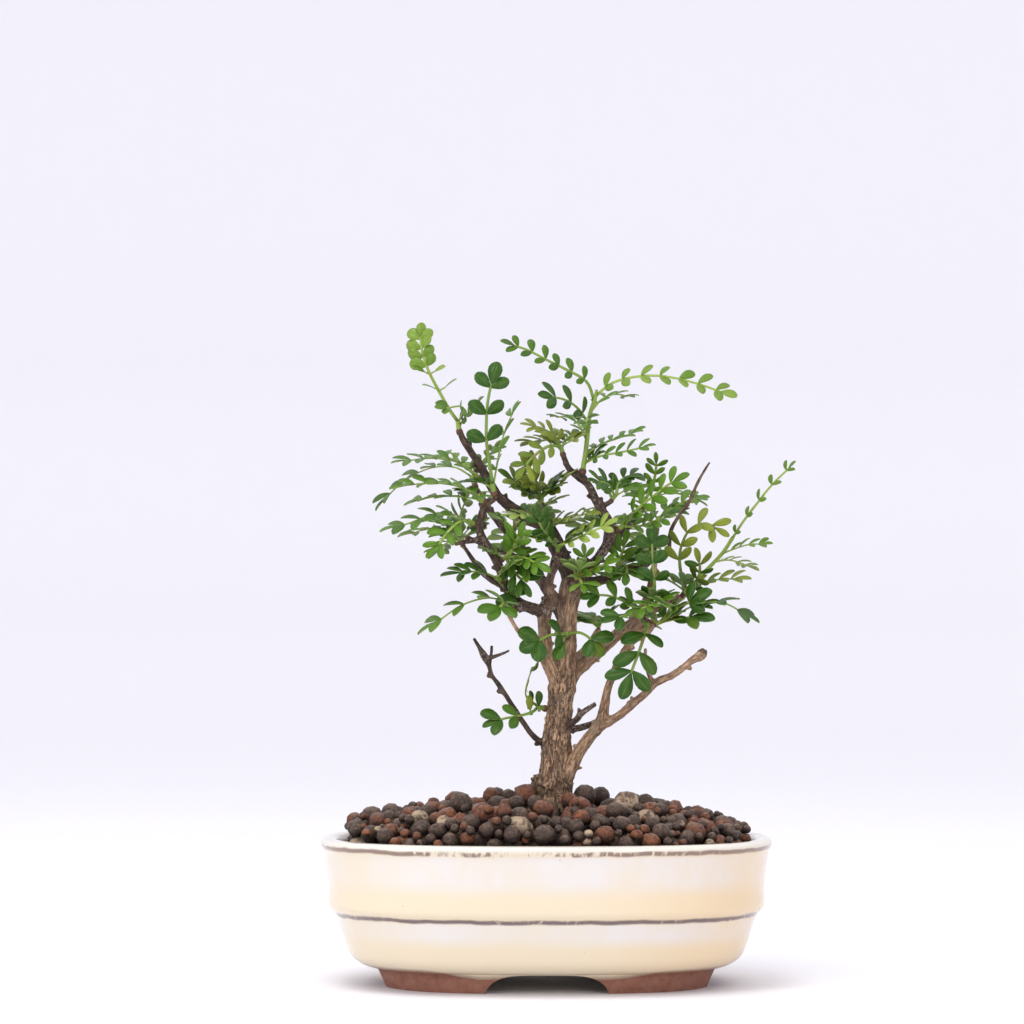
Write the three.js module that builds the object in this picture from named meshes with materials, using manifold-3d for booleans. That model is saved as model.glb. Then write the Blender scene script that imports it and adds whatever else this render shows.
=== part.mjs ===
// A Chinese pepper bonsai in a glazed oval pot: the pot, the granular soil, the wood and the leafy shoots.
// Millimetres, +Z up. The pot stands on z = 0, the front of the tree looks along -Y.
import * as THREE from "three";
import { mergeVertices } from "three/addons/utils/BufferGeometryUtils.js";
import Module from "manifold-3d";

const wasm = await Module();
wasm.setup();

const POT_SIDES = 32;
const RIM_HALF_WIDTH = 74.75;
const RIM_HEIGHT = 48.5;
const OVAL_INSET = 19; // the oval's half depth is this much less than its half width
const OVAL_SQUARENESS = 2.6;
const FOOT_HALF_WIDTH = 54;
const FOOT_THICKNESS = 6.5;
const POT_UNDERSIDE = 6.3;
const POT_FLOOR = 10.6;
const DRAIN_RADIUS = 6.5;
const DRAIN_SPREAD = 27;

const SOIL_GAP = 0.3;
const SOIL_HALF_WIDTH = 68.4;
const SOIL_EDGE_HEIGHT = 45;
const SOIL_MOUND = 15; // height of the mound's middle above its edge
const GRANULE_PITCH = 8.8;
const GRANULE_RELIEF = [2, 3.8];
const TRUNK_FOOT = [2.3, 0];
const TRUNK_HOLE_RADIUS = 8.6;

const LEAF_THICKNESS = 0.7;
const RACHIS_WIDTH = 1.3;
const LEAFLET_ANGLE = 1.15; // between a leaflet and the rachis, in radians

const CENTRE_OF_BOX = [4.2, 0]; // where the middle of the whole object lies, seen from the pot's own axis

THREE.MathUtils.seededRandom(2562);
const draw = (low, high) => low + (high - low) * THREE.MathUtils.seededRandom();

// A closed geometry as a solid that can be joined and cut.
function solidOf(geometry) {
  const loose = geometry.index ? geometry.toNonIndexed() : geometry;
  const bare = new THREE.BufferGeometry();
  bare.setAttribute("position", loose.getAttribute("position"));
  const merged = mergeVertices(bare, 1e-3);
  const corners = merged.index.array;
  const triVerts = [];
  for (let i = 0; i < corners.length; i += 3) {
    const [a, b, c] = corners.slice(i, i + 3);
    if (a !== b && b !== c && c !== a) triVerts.push(a, b, c);
  }
  const vertProperties = merged.getAttribute("position").array;
  return new wasm.Manifold(new wasm.Mesh({ numProp: 3, vertProperties, triVerts: new Uint32Array(triVerts) }));
}

function meshOf(name, solid, colour, roughness) {
  const { numProp, vertProperties, triVerts } = solid.getMesh();
  const geometry = new THREE.BufferGeometry();
  const corners = new THREE.InterleavedBuffer(vertProperties, numProp);
  geometry.setAttribute("position", new THREE.InterleavedBufferAttribute(corners, 3, 0));
  geometry.setIndex(new THREE.BufferAttribute(triVerts, 1));
  geometry.computeVertexNormals();
  const mesh = new THREE.Mesh(geometry, new THREE.MeshStandardMaterial({ color: colour, roughness, metalness: 0 }));
  mesh.name = name;
  return mesh;
}

// Moves each vertex of a geometry to where place puts it.
function reshape(geometry, place) {
  const position = geometry.getAttribute("position");
  const vertex = new THREE.Vector3();
  for (let i = 0; i < position.count; i++) {
    vertex.fromBufferAttribute(position, i);
    position.setXYZ(i, ...place(vertex).toArray());
  }
  return geometry;
}

function halfDepth(halfWidth) {
  const flat = 56;
  return halfWidth > flat ? halfWidth - OVAL_INSET : (halfWidth * (flat - OVAL_INSET)) / flat;
}

// A profile of [half width, height] rows turned into the pot's oval, a little squarer than an ellipse.
function ovalSolid(profile) {
  const turned = new THREE.LatheGeometry(profile.map(([r, z]) => new THREE.Vector2(r, z)), POT_SIDES);
  return solidOf(
    reshape(turned, ({ x, y, z }) => {
      const radius = Math.hypot(x, z);
      const angle = Math.atan2(-z, x);
      const rounded = (share) => Math.sign(share) * Math.abs(share) ** (2 / OVAL_SQUARENESS);
      const across = rounded(Math.abs(Math.cos(angle)) < 1e-6 ? 0 : Math.cos(angle));
      const deep = rounded(Math.abs(Math.sin(angle)) < 1e-6 ? 0 : Math.sin(angle));
      return new THREE.Vector3(radius * across, halfDepth(radius) * deep, y);
    }),
  );
}

// The pot: a shell with a rolled lip and a rib, on a foot ring that four arches part into four feet.
function makePot() {
  const shell = ovalSolid([
    [0, POT_UNDERSIDE],
    [58, POT_UNDERSIDE],
    [62.5, 8],
    [66, 10.6],
    [68.2, 17],
    [70.3, 24.2],
    [72.3, 26],
    [72.2, 28.6],
    [73.6, 40],
    [73.9, 44.8],
    [RIM_HALF_WIDTH, 46],
    [RIM_HALF_WIDTH, 47.4],
    [74, RIM_HEIGHT],
    [70, RIM_HEIGHT],
    [69, 47.4],
    [67.6, 30],
    [61.6, 14],
    [58, POT_FLOOR],
    [0, POT_FLOOR],
  ]);
  const footRing = ovalSolid([
    [FOOT_HALF_WIDTH - FOOT_THICKNESS, 0],
    [FOOT_HALF_WIDTH, 0],
    [FOOT_HALF_WIDTH + 2.5, POT_UNDERSIDE + 1],
    [FOOT_HALF_WIDTH - FOOT_THICKNESS - 1, POT_UNDERSIDE + 1],
    [FOOT_HALF_WIDTH - FOOT_THICKNESS, 0],
  ]);
  const archLength = 200;
  const arch = (halfWidth) => {
    const outline = new THREE.Shape();
    outline.moveTo(-halfWidth, -1);
    outline.lineTo(halfWidth, -1);
    outline.lineTo(halfWidth * 0.86, 3.6);
    outline.lineTo(halfWidth * 0.62, POT_UNDERSIDE - 0.1);
    outline.lineTo(-halfWidth * 0.62, POT_UNDERSIDE - 0.1);
    outline.lineTo(-halfWidth * 0.86, 3.6);
    const bar = new THREE.ExtrudeGeometry(outline, { depth: archLength, bevelEnabled: false });
    return bar.translate(0, 0, -archLength / 2).rotateX(Math.PI / 2);
  };
  let pot = footRing.subtract(solidOf(arch(20))).subtract(solidOf(arch(12).rotateZ(Math.PI / 2))).add(shell);
  for (const x of [-DRAIN_SPREAD, DRAIN_SPREAD]) {
    const drain = new THREE.CylinderGeometry(DRAIN_RADIUS, DRAIN_RADIUS, 12, 16);
    drain.rotateX(Math.PI / 2).translate(x, 0, 8);
    pot = pot.subtract(solidOf(drain));
  }
  return pot;
}

function moundHeight(x, y) {
  const share = Math.hypot(x / SOIL_HALF_WIDTH, y / halfDepth(SOIL_HALF_WIDTH));
  return SOIL_EDGE_HEIGHT + SOIL_MOUND * (1 - Math.min(share, 1) ** 3);
}

// A slab whose top is cobbled with granules: on its grid, each crossing between four low corners is raised.
function cobbledSlab() {
  const columns = 16;
  const rows = 13;
  const [width, depth, height] = [columns * GRANULE_PITCH, rows * GRANULE_PITCH, 60];
  const slab = new THREE.BoxGeometry(width, depth, height, 2 * columns, 2 * rows, 1);
  const isOdd = (offset) => Math.round((2 * offset) / GRANULE_PITCH) % 2 !== 0;
  return solidOf(
    reshape(slab, ({ x, y, z }) => {
      if (z < 0) return new THREE.Vector3(x, y, 0);
      const onBorder = Math.abs(x) > width / 2 - 1 || Math.abs(y) > depth / 2 - 1;
      if (onBorder) return new THREE.Vector3(x, y, moundHeight(x, y));
      const flank = isOdd(x) !== isOdd(y) ? draw(0.4, 1.4) : draw(-0.8, 0);
      const relief = isOdd(x) && isOdd(y) ? draw(...GRANULE_RELIEF) : flank;
      return new THREE.Vector3(x + draw(-0.8, 0.8), y + draw(-0.8, 0.8), moundHeight(x, y) + relief);
    }),
  );
}

// The soil: a mass that fills the pot, heaped in the middle and cobbled, with the hole for the trunk's foot.
function makeSoil() {
  const room = ovalSolid([
    [0, POT_FLOOR + SOIL_GAP],
    [57.5, POT_FLOOR + SOIL_GAP],
    [61, 14],
    [67.1, 30],
    [SOIL_HALF_WIDTH, 47],
    [SOIL_HALF_WIDTH, 70],
    [0, 70],
  ]);
  const profile = [[0, 43.6], [5, 43.6], [7, 57.8], [TRUNK_HOLE_RADIUS, 63], [TRUNK_HOLE_RADIUS + 0.6, 72], [0, 72]];
  const hole = new THREE.LatheGeometry(profile.map(([r, z]) => new THREE.Vector2(r, z)), 12);
  hole.rotateX(Math.PI / 2).translate(TRUNK_FOOT[0], TRUNK_FOOT[1], 0);
  return cobbledSlab().intersect(room).subtract(solidOf(hole));
}

// The frames at the given shares of a curve: its point, its direction, and two directions across it.
function frameAt(curve, share, facing) {
  const point = curve.getPointAt(share);
  const along = curve.getTangentAt(share);
  const up = facing.clone().addScaledVector(along, -facing.dot(along)).normalize();
  const side = new THREE.Vector3().crossVectors(up, along);
  return { point, along, up, side };
}

// A branch: rows of [x, y, z, radius] along it, with a flat cut at both ends.
function limb(rows, sides = rows[0][3] > 1.45 ? 6 : 4) {
  const profile = [[0, 0], ...rows.map((row, i) => [row[3], i]), [0, rows.length - 1]];
  const turned = new THREE.LatheGeometry(profile.map(([r, i]) => new THREE.Vector2(r, i)), sides);
  const points = rows.map(([x, y, z]) => new THREE.Vector3(x, y, z));
  const frames = points.map((point, i) => {
    const before = points[Math.max(i - 1, 0)];
    const after = points[Math.min(i + 1, points.length - 1)];
    const along = after.clone().sub(before).normalize();
    const across = new THREE.Vector3(0, 1, 0);
    across.addScaledVector(along, -across.dot(along)).normalize();
    return { point, across, side: new THREE.Vector3().crossVectors(along, across) };
  });
  return solidOf(
    reshape(turned, ({ x, y, z }) => {
      const { point, across, side } = frames[Math.round(y)];
      return point.clone().addScaledVector(side, x).addScaledVector(across, z);
    }),
  );
}

// A flat leaf's outline: the rachis runs along +X, with pairs of leaflets parted down to it and one at the tip.
function leafOutline({ span, pairs, bare, leaflet: [length, width] }) {
  const half = RACHIS_WIDTH / 2;
  const end = span - length;
  const pitch = (end - bare) / pairs;
  const wide = Math.min(width, 0.86 * pitch * Math.sin(LEAFLET_ANGLE));
  const cos = Math.cos(LEAFLET_ANGLE);
  const sin = Math.sin(LEAFLET_ANGLE);
  const right = [[bare, -half]];
  for (let i = 0; i < pairs; i++) {
    const root = bare + pitch * (i + 0.4);
    const reach = length * (1 - 0.3 * Math.abs(i / pairs - 0.45));
    const at = (along, across) => [root + along * cos + across * sin, across * cos - half - along * sin];
    const blunt = reach > 7;
    right.push(at(0.5 * reach, -wide / 2));
    right.push(...(blunt ? [at(0.97 * reach, -0.27 * wide), at(reach, 0.25 * wide)] : [at(reach, 0)]));
    right.push(at(0.56 * reach, wide / 2), [bare + pitch * (i + 1), -half]);
  }
  const tip = [[end + 0.5 * length, -width / 2], [span, 0], [end + 0.5 * length, width / 2]];
  const left = right.map(([x, y]) => [x, -y]).reverse();
  return new THREE.Shape([[0, -half], ...right, ...tip, ...left, [0, half]].map(([x, y]) => new THREE.Vector2(x, y)));
}

// A compound leaf from a point on its stem: the flat outline bent along its path, facing one way, leaflets raised.
function leaf(start, { path, pairs, leaflet, facing, bare = 0.22, lift = 0.12 }) {
  const curve = new THREE.CatmullRomCurve3([start, ...path.map((point) => new THREE.Vector3(...point))]);
  const span = curve.getLength();
  const outline = leafOutline({ span, pairs, bare: bare * span, leaflet });
  const plate = new THREE.ExtrudeGeometry(outline, { depth: LEAF_THICKNESS, bevelEnabled: false });
  const upper = new THREE.Vector3(...facing).normalize();
  return solidOf(
    reshape(plate, ({ x, y, z }) => {
      const share = THREE.MathUtils.clamp(x / span, 0, 1);
      const { point, along, up, side } = frameAt(curve, share, upper);
      const raised = z - LEAF_THICKNESS / 2 + lift * Math.abs(y);
      return point.addScaledVector(along, x - share * span).addScaledVector(side, y).addScaledVector(up, raised);
    }),
  );
}

// The wood: rows of [x, y, z, radius] for the trunk, its limbs, the twigs, the stubs and the dead twigs.
const trunk = [
  [2.3, 0, 44, 4.6], [2.3, 0, 57.5, 6.6], [2.2, 0, 63.7, 8.2], [3, 0, 67, 5.9], [3.2, 0, 73.7, 4.9],
  [3.5, 0, 80.3, 5.2], [4.2, 0, 87, 4.6], [4.8, 0, 93.7, 4.6], [5.7, 0, 100.3, 5], [6.4, 0, 105, 4],
  [6.7, 0, 113.7, 3.7], [7.2, 0, 120.3, 3.3], [7.6, 0, 127, 4], [9.6, 0, 133.3, 4.4], [11, 0, 137.5, 2.2],
];
const limbs = [
  // The leader with its cut top, and its arm to the upper left.
  [[9, 0, 133, 3.2], [6.3, 0, 138.7, 3], [3, 1, 146, 2.8], [0, 2, 152, 3], [-1.5, 2, 158.5, 2.2]],
  [[0, 2, 152.5, 2.4], [-5.3, 2, 154, 2.2], [-10, 1, 157, 1.8], [-13.7, 0, 159.5, 1.8], [-16.3, 0, 162, 1.7],
    [-22, -1, 172, 1.4], [-27, -2, 179.3, 1.2], [-28.7, -2, 183, 1]],
  // The left limb, the limb above it, and its stubs.
  [[3.5, -1.5, 100, 2.6], [0.5, -3, 107, 2.4], [-0.3, -4, 113.7, 2.2], [-0.3, -5, 123.7, 2.4], [1.8, -5, 127.2, 2.9],
    [0.7, -6, 130.5, 1.7], [1.7, -7, 135.3, 1.4], [3.3, -7, 140.3, 1.8], [3.6, -7, 142, 1.2]],
  [[-1, -5, 123, 2], [-5.3, -6, 124.3, 1.9], [-10.3, -7, 127, 1.8], [-13, -8, 131, 1.6], [-14.3, -8, 134.3, 1.5],
    [-16.3, -8, 139.7, 1.6], [-18.7, -9, 143.7, 1.5], [-21, -9, 147, 1.5], [-22, -9, 150.3, 1.4], [-21.3, -9, 155.3, 1.3],
    [-19.7, -8, 158.7, 1.3], [-17.3, -8, 160.7, 1.4]],
  [[-21, -9, 147, 1.1], [-26, -10, 146.3, 0.9], [-30.3, -11, 145.3, 0.7]],
  [[-13.5, -8, 131, 1.2], [-20.3, -4, 135.3, 1.1], [-24.3, -2, 140.3, 0.9], [-27.7, 0, 145.3, 0.7]],
  [[-2, -5, 123.5, 1.8], [-7, -9, 125, 1.7], [-11, -12, 124, 1.5]],
  // The thin twig and the dead twig on the left.
  [[1, -3, 105, 1.2], [-3, -5, 108.7, 1], [-6.3, -7, 113.3, 0.9], [-10, -8, 117.7, 0.8], [-14.3, -10, 126, 0.7]],
  [[1, 0, 78.5, 1.4], [-1.7, -1, 79.7, 1.2], [-5.3, -3, 83, 1], [-8, -4, 87, 1], [-12.7, -6, 94.3, 0.9],
    [-16, -7, 99.3, 0.9], [-18, -8, 102, 0.8], [-19, -8, 105.3, 0.9], [-20.3, -9, 108, 1.2], [-22, -9, 111, 0.8],
    [-24, -10, 114.3, 0.6]],
  [[-19.5, -9, 107.5, 0.8], [-15, -10, 109, 0.6], [-12, -11, 110.3, 0.5]],
  [[-18.9, -8, 105, 0.7], [-18.3, -8, 108.5, 0.6], [-18, -8, 112, 0.5]],
  // The limb to the upper right and its side stub.
  [[10, 0, 132, 2.2], [14, -1, 137, 1.9], [18, -2, 142, 1.7], [22, -3, 150.3, 1.7], [20.3, -3, 153.7, 1.7],
    [17, -3, 159.3, 1.5], [14, -3, 165.3, 1.3], [11.3, -3, 168, 1.7], [8, -3, 170.3, 1.1], [5.7, -4, 174.7, 1]],
  [[18, -3, 157.7, 1], [21.3, -3, 159.5, 0.9]],
  // The dark limb to the right, its stubs, and the dead twig at its end.
  [[11, 0, 132, 2.2], [18, 4, 133.5, 1.8], [24.7, 7, 136.3, 1.7], [34.7, 11, 140.3, 1.5], [36.5, 11, 146, 1.3],
    [37.3, 11, 151.7, 1.2]],
  [[32.5, 10.4, 140, 1], [32.3, 11, 145.5, 0.9]],
  [[35, 11, 140.5, 1.2], [40.3, 9, 141.7, 0.9], [42, 7, 150.3, 0.8], [44.7, 6, 155.3, 0.7], [48.3, 5, 160.3, 0.7],
    [50.7, 4, 166, 0.6], [53.7, 4, 171.3, 0.5], [55, 4, 173.3, 0.4]],
  // The right limb, the twig above it, and its arm towards the far right.
  [[8, 0, 101, 2.8], [10.3, 1, 103.5, 2.5], [18, 3, 110.3, 2.3], [24.7, 4, 116, 2.2], [29, 4, 119, 2.2],
    [33, 4, 125.3, 1.7], [34.7, 4, 130.3, 1.5], [36.5, 5, 139.5, 1]],
  [[31, 4, 122, 1.5], [38, 3.5, 124.5, 1.3], [45, 2, 128.2, 1.3]],
  // The low right branch: its fork to the knotted spur, and its fork to the knob at the end.
  [[5, -1, 66, 2.8], [7, -2, 68.5, 2.5], [9.7, -3, 74.3, 2.3], [14, -4, 81, 2.1], [18, -5, 86.3, 2.2],
    [19.3, -6, 92, 1.7], [20.3, -7, 97, 1.5], [22, -7, 102, 1.5], [25.3, -7, 108.7, 1.4], [28.7, -6, 113.7, 1.6],
    [31.5, -5, 116.5, 2.6], [33.7, -4, 118.8, 2.5], [34.2, -3.6, 120.6, 1.2]],
  [[17, -5, 85, 1.9], [22, -6, 87.3, 1.6], [25.3, -7, 89.7, 1.5], [28.7, -8, 92.7, 1.5], [33, -9, 96.3, 1.4],
    [36.3, -10, 99.7, 1.4], [41.3, -11, 102, 1.3], [44.7, -12, 104.3, 1.2], [48, -12, 107, 1.3], [51.3, -12, 109, 1.9],
    [52.2, -12, 110.8, 1.1]],
  [[35.3, -10, 98.7, 1], [34, -10, 102, 0.9], [33, -9.5, 105.3, 0.8], [32.7, -9.5, 111, 0.6]],
  // The stubs on the trunk's right side.
  [[6, 2, 83.5, 1.5], [12, 5, 84.5, 1.2], [16.7, 7, 86, 1]],
  [[6, -1.5, 85.5, 1.4], [9, -5, 86.5, 1.2], [12, -8, 89.7, 1.1], [16.3, -10, 92.7, 0.8]],
  [[10.9, -6.5, 88.2, 0.8], [10.7, -7.5, 91.3, 0.6]],
  // The limbs that grow towards the back.
  [[6, 1, 121, 2.5], [1, 9, 130, 2.1], [-5, 17, 139, 1.8], [-12, 25, 149, 1.5], [-19, 31, 158, 1.3], [-24, 34, 166, 1]],
  [[-6, 18, 140, 1.4], [-16, 17, 144, 1.1], [-26, 15, 148, 0.9]],
  [[9, 1, 130, 2.3], [14, 10, 136, 1.9], [20, 17, 144, 1.6], [28, 21, 152, 1.3], [33, 22, 158, 1]],
  [[18, 15, 141, 1.3], [20, 25, 145, 1], [21, 33, 150, 0.9]],
  [[6, 1, 101, 2], [9, 10, 106, 1.7], [14, 18, 111, 1.4], [18, 26, 117, 1]],
];

function makeWood() {
  return limbs.reduce((wood, rows) => wood.add(limb(rows)), limb(trunk, 8));
}

const YOUNG = 0xa9b545;
const FRESH = 0x6f8a34;
const MATURE = 0x3f5a2a;
const REDDISH = 0x94803f;

// The leafy shoots: a short green stem out of the wood, rows of [x, y, z, radius], and the leaves on it, each from
// the stem at a share of its length.
const sprays = [
  {
    name: "spray_top_left",
    colour: YOUNG,
    stem: [[-28.9, -2.2, 183.5, 0.9], [-29.4, -2.6, 186.6, 0.8]],
    leaves: [
      { path: [[-32, -4, 190], [-36, -5, 197], [-39.5, -6, 204], [-41.7, -6, 212], [-41.3, -5, 219]],
        pairs: 4, leaflet: [5.9, 5.1], facing: [-0.4, -0.8, 0.4] },
      { path: [[-30, -9, 188], [-33.5, -14, 193], [-38, -17, 198.5], [-40.5, -18, 203]],
        pairs: 2, leaflet: [5.9, 4.9], facing: [-0.3, -0.6, 0.7] },
      { path: [[-26, -5, 189], [-23, -8, 191.5], [-21, -10, 192]],
        pairs: 1, leaflet: [4.6, 3.4], facing: [0, -0.6, 0.8] },
    ],
  },
  {
    name: "spray_left_upright",
    colour: FRESH,
    stem: [[-17.3, -8, 162.3, 1], [-17.8, -8.4, 165.5, 0.9]],
    leaves: [
      { path: [[-18.7, -10, 172], [-19.7, -13, 179], [-19.7, -15, 187], [-19, -16, 194], [-16.5, -16, 204]],
        pairs: 3, leaflet: [7.4, 6.4], facing: [0.1, -0.95, 0.3], bare: 0.3 },
      { path: [[-16, -3, 174], [-14.5, 2, 181], [-12, 6, 188], [-9, 9, 194]],
        pairs: 3, leaflet: [5.9, 4.6], facing: [-0.5, 0.1, 0.85] },
    ],
  },
  {
    name: "spray_left_high",
    colour: FRESH,
    stem: [[-21.9, -1, 167.2, 0.8], [-24, -1.8, 168.6, 0.8]],
    leaves: [
      { path: [[-29, -4, 172.6], [-37, -6, 174], [-44, -8, 173.4], [-51.5, -9, 172]],
        pairs: 3, leaflet: [7, 5.1], facing: [0, -0.4, 0.9] },
      { path: [[-27, 3, 172], [-33, 9, 175], [-38, 14, 175]],
        pairs: 2, leaflet: [6.4, 5.1], facing: [-0.2, 0, 1] },
    ],
  },
  {
    name: "spray_left_middle",
    colour: FRESH,
    stem: [[-20.9, -9.8, 159.4, 0.9], [-22.6, -11.2, 160.4, 0.8]],
    leaves: [
      { path: [[-28, -13, 164], [-36, -15, 165.4], [-43, -16, 165], [-50.5, -17, 163.6]],
        pairs: 3, leaflet: [7.4, 5], facing: [0, -0.3, 0.95] },
      { path: [[-29, -8, 161.2], [-38, -5, 161.2], [-47, -3, 158.5]],
        pairs: 2, leaflet: [6.4, 5.1], facing: [0.1, -0.4, 0.9] },
      { path: [[-22.5, -15, 161.5], [-22, -19, 161], [-21, -22, 158.5]],
        pairs: 1, leaflet: [4.4, 3.8], facing: [0, -0.3, 0.95] },
    ],
  },
  {
    name: "spray_left_low",
    colour: FRESH,
    stem: [[-23.9, -10, 152, 0.8], [-25.9, -12, 153.2, 0.8]],
    leaves: [
      { path: [[-32, -14, 155.4], [-39, -16, 154.4], [-46, -17, 151.8], [-54, -18, 150]],
        pairs: 2, leaflet: [8.1, 5.6], facing: [0, -0.35, 0.95] },
      { path: [[-28.5, -17, 152.6], [-32.5, -21, 149], [-36, -23, 144], [-39.5, -24, 142]],
        pairs: 2, leaflet: [6.4, 5.1], facing: [-0.1, -0.75, 0.6] },
    ],
  },
  {
    name: "spray_back_left_end",
    colour: MATURE,
    stem: [[-24.2, 34.1, 166.9, 0.9], [-25.4, 34.6, 170, 0.8]],
    leaves: [
      { path: [[-31, 36, 173], [-39, 38, 173], [-47, 39, 169.5], [-53, 39, 164.5], [-58, 38, 158]],
        pairs: 3, leaflet: [8.5, 6.9], facing: [-0.2, -0.2, 0.95] },
      { path: [[-24, 39, 173], [-22, 44, 175], [-20, 49, 174]],
        pairs: 2, leaflet: [6.4, 5.4], facing: [0, 0.3, 0.95] },
      { path: [[-22, 31, 174], [-18, 27, 178], [-15, 23, 180]],
        pairs: 2, leaflet: [5.9, 5.1], facing: [-0.3, 0.3, 0.9] },
    ],
  },
  {
    name: "spray_broken_stub",
    colour: FRESH,
    stem: [[-11.6, -12.5, 124.6, 0.9], [-13.2, -14, 126, 0.8]],
    leaves: [
      { path: [[-19, -16, 127.6], [-27, -18, 125.5], [-34, -19, 121], [-40, -19, 115.5]],
        pairs: 2, leaflet: [8.7, 6.9], facing: [-0.2, -0.6, 0.75] },
      { path: [[-14, -18, 126], [-15.5, -22, 123.5], [-16.5, -25, 119]],
        pairs: 1, leaflet: [6.5, 5], facing: [0, -0.7, 0.7] },
    ],
  },
  {
    name: "spray_left_bend",
    colour: MATURE,
    stem: [[-14.9, -10.1, 133.4, 0.8], [-16.6, -12, 134.4, 0.8]],
    leaves: [
      { path: [[-21, -14, 136], [-27, -16, 136], [-33.5, -17, 133.5]],
        pairs: 2, leaflet: [6.4, 5.1], facing: [0, -0.5, 0.85] },
    ],
  },
  {
    name: "spray_left_spur",
    colour: MATURE,
    stem: [[-27.95, 0.1, 145.65, 0.7], [-29.4, 0.9, 148.2, 0.7]],
    leaves: [
      { path: [[-35, 5, 150.5], [-42, 10, 150.5], [-49, 14, 147.5]],
        pairs: 2, leaflet: [7.2, 6.1], facing: [-0.2, 0, 1] },
      { path: [[-31.5, 6, 147], [-35, 11.5, 145], [-38.5, 17, 141.5]],
        pairs: 2, leaflet: [6.4, 5.1], facing: [-0.2, 0.3, 0.95] },
    ],
  },
  {
    name: "spray_trunk_front",
    colour: MATURE,
    stem: [[6.9, -4.7, 115, 0.9], [6.6, -7, 115.8, 0.8]],
    leaves: [
      { path: [[3.5, -9.5, 117.8], [-2, -11.5, 116.8], [-6.5, -12.5, 112.5]],
        pairs: 2, leaflet: [6.4, 4.8], facing: [0, -0.85, 0.5] },
      { path: [[11, -10, 116.2], [15, -12, 113.5], [17, -13, 108]],
        pairs: 2, leaflet: [6.2, 5], facing: [0.1, -0.9, 0.4] },
      { path: [[5.5, -10, 113], [3.5, -12.5, 109.5], [1.5, -13.5, 105.5]],
        pairs: 1, leaflet: [6, 4.6], facing: [0, -0.9, 0.4] },
    ],
  },
  {
    name: "spray_front_right",
    colour: MATURE,
    stem: [[33.6, -7.2, 119, 0.9], [33.2, -9.4, 118.4, 0.8]],
    leaves: [
      { path: [[32.5, -13, 116], [30.5, -15, 110], [28, -16, 103.5], [25.5, -16.5, 95]],
        pairs: 2, leaflet: [9.1, 7.2], facing: [0.1, -0.95, 0.3], bare: 0.12 },
      { path: [[30, -13, 121.5], [24.5, -16, 121.5], [19.5, -18, 118]],
        pairs: 2, leaflet: [6, 4.4], facing: [0, -0.7, 0.7] },
    ],
  },
  {
    name: "spray_trunk_left",
    colour: FRESH,
    stem: [[-0.7, -1.5, 91, 0.9], [-2.8, -3.4, 91.6, 0.8]],
    leaves: [
      { path: [[-5, -8, 89.8], [-10, -11, 88.6], [-15, -12.5, 87.6], [-20.5, -13.5, 84.5]],
        pairs: 2, leaflet: [6.8, 4.6], facing: [0, -0.75, 0.65] },
      { path: [[-4, -7.5, 95.5], [-4.5, -11, 101], [-3, -13, 107]],
        pairs: 2, leaflet: [5.3, 4.6], facing: [0.1, -0.95, 0.2] },
    ],
  },
  {
    name: "spray_crown_top",
    colour: FRESH,
    stem: [[12.2, -3.2, 170, 1], [13.3, -3.2, 177, 0.9], [14, -3, 184, 0.9], [14.7, -3, 189, 0.8], [16.3, -3, 194, 0.8],
      [16.9, -3, 197, 0.5]],
    leaves: [
      { at: 0.86, path: [[13.5, -6, 199.5], [6.3, -9, 203.5], [0, -10.5, 206.5], [-7, -11, 210], [-14.5, -11, 212]],
        pairs: 3, leaflet: [6.1, 5.6], facing: [0.2, -0.6, 0.8], bare: 0.25 },
      { at: 0.92, path: [[21.3, -5, 198.8], [28, -7, 200.8], [36.3, -9, 201.3], [44.7, -10, 200], [53, -11, 197.5],
        [62, -12, 194]],
        pairs: 4, leaflet: [6.4, 5.6], facing: [0, -0.5, 0.85], bare: 0.12 },
      { at: 0.58, path: [[10, -8, 191], [4.5, -12, 193.6], [-3, -15, 193.6]],
        pairs: 2, leaflet: [5.7, 5.9], facing: [0, -0.6, 0.8] },
      { at: 0.46, path: [[13.8, -11, 186.5], [13.3, -18, 186.3], [12.6, -25, 182.5]],
        pairs: 2, leaflet: [5.7, 5.1], facing: [0, -0.1, 1] },
      { at: 0.08, path: [[17.5, -8, 174.5], [26, -12, 176], [35.5, -15, 178]],
        pairs: 2, leaflet: [5.7, 5.4], facing: [-0.2, -0.6, 0.75] },
      { at: 0.2, path: [[18.5, 1, 179], [25, 4, 181.5], [33, 6, 184.5]],
        pairs: 2, leaflet: [5.9, 5.1], facing: [-0.3, -0.3, 0.9] },
      { at: 0.38, path: [[11, 5, 186], [7, 13, 189], [2, 21, 189]],
        pairs: 2, leaflet: [6.8, 6.1], facing: [0, 0.3, 0.95] },
      { at: 0.73, path: [[19, 4, 194.5], [24, 11, 196.5], [30, 18, 195.5]],
        pairs: 2, leaflet: [6.8, 6.1], facing: [0.1, 0.3, 0.95] },
    ],
  },
  {
    name: "spray_crown_middle",
    colour: FRESH,
    stem: [[5.5, -4.1, 175.8, 0.8], [4.9, -4.4, 178, 0.7]],
    leaves: [
      { path: [[1, -8, 178], [-4, -10, 174.6], [-10, -11.5, 167.5]],
        pairs: 2, leaflet: [5.5, 5.4], facing: [0.2, -0.85, 0.45] },
      { path: [[2.5, -5, 181.8], [-2.5, -6, 184.2], [-8, -7, 184]],
        pairs: 2, leaflet: [4.9, 4.4], facing: [0, -0.5, 0.85] },
      { path: [[2, 1, 180], [-3, 6, 180.5], [-8, 11, 178.5]],
        pairs: 2, leaflet: [5.7, 5.1], facing: [-0.1, 0.2, 0.95] },
    ],
  },
  {
    name: "spray_right_branch",
    colour: FRESH,
    stem: [[24.2, -3.6, 150.6, 0.9], [26, -4.8, 152, 0.8]],
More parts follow.
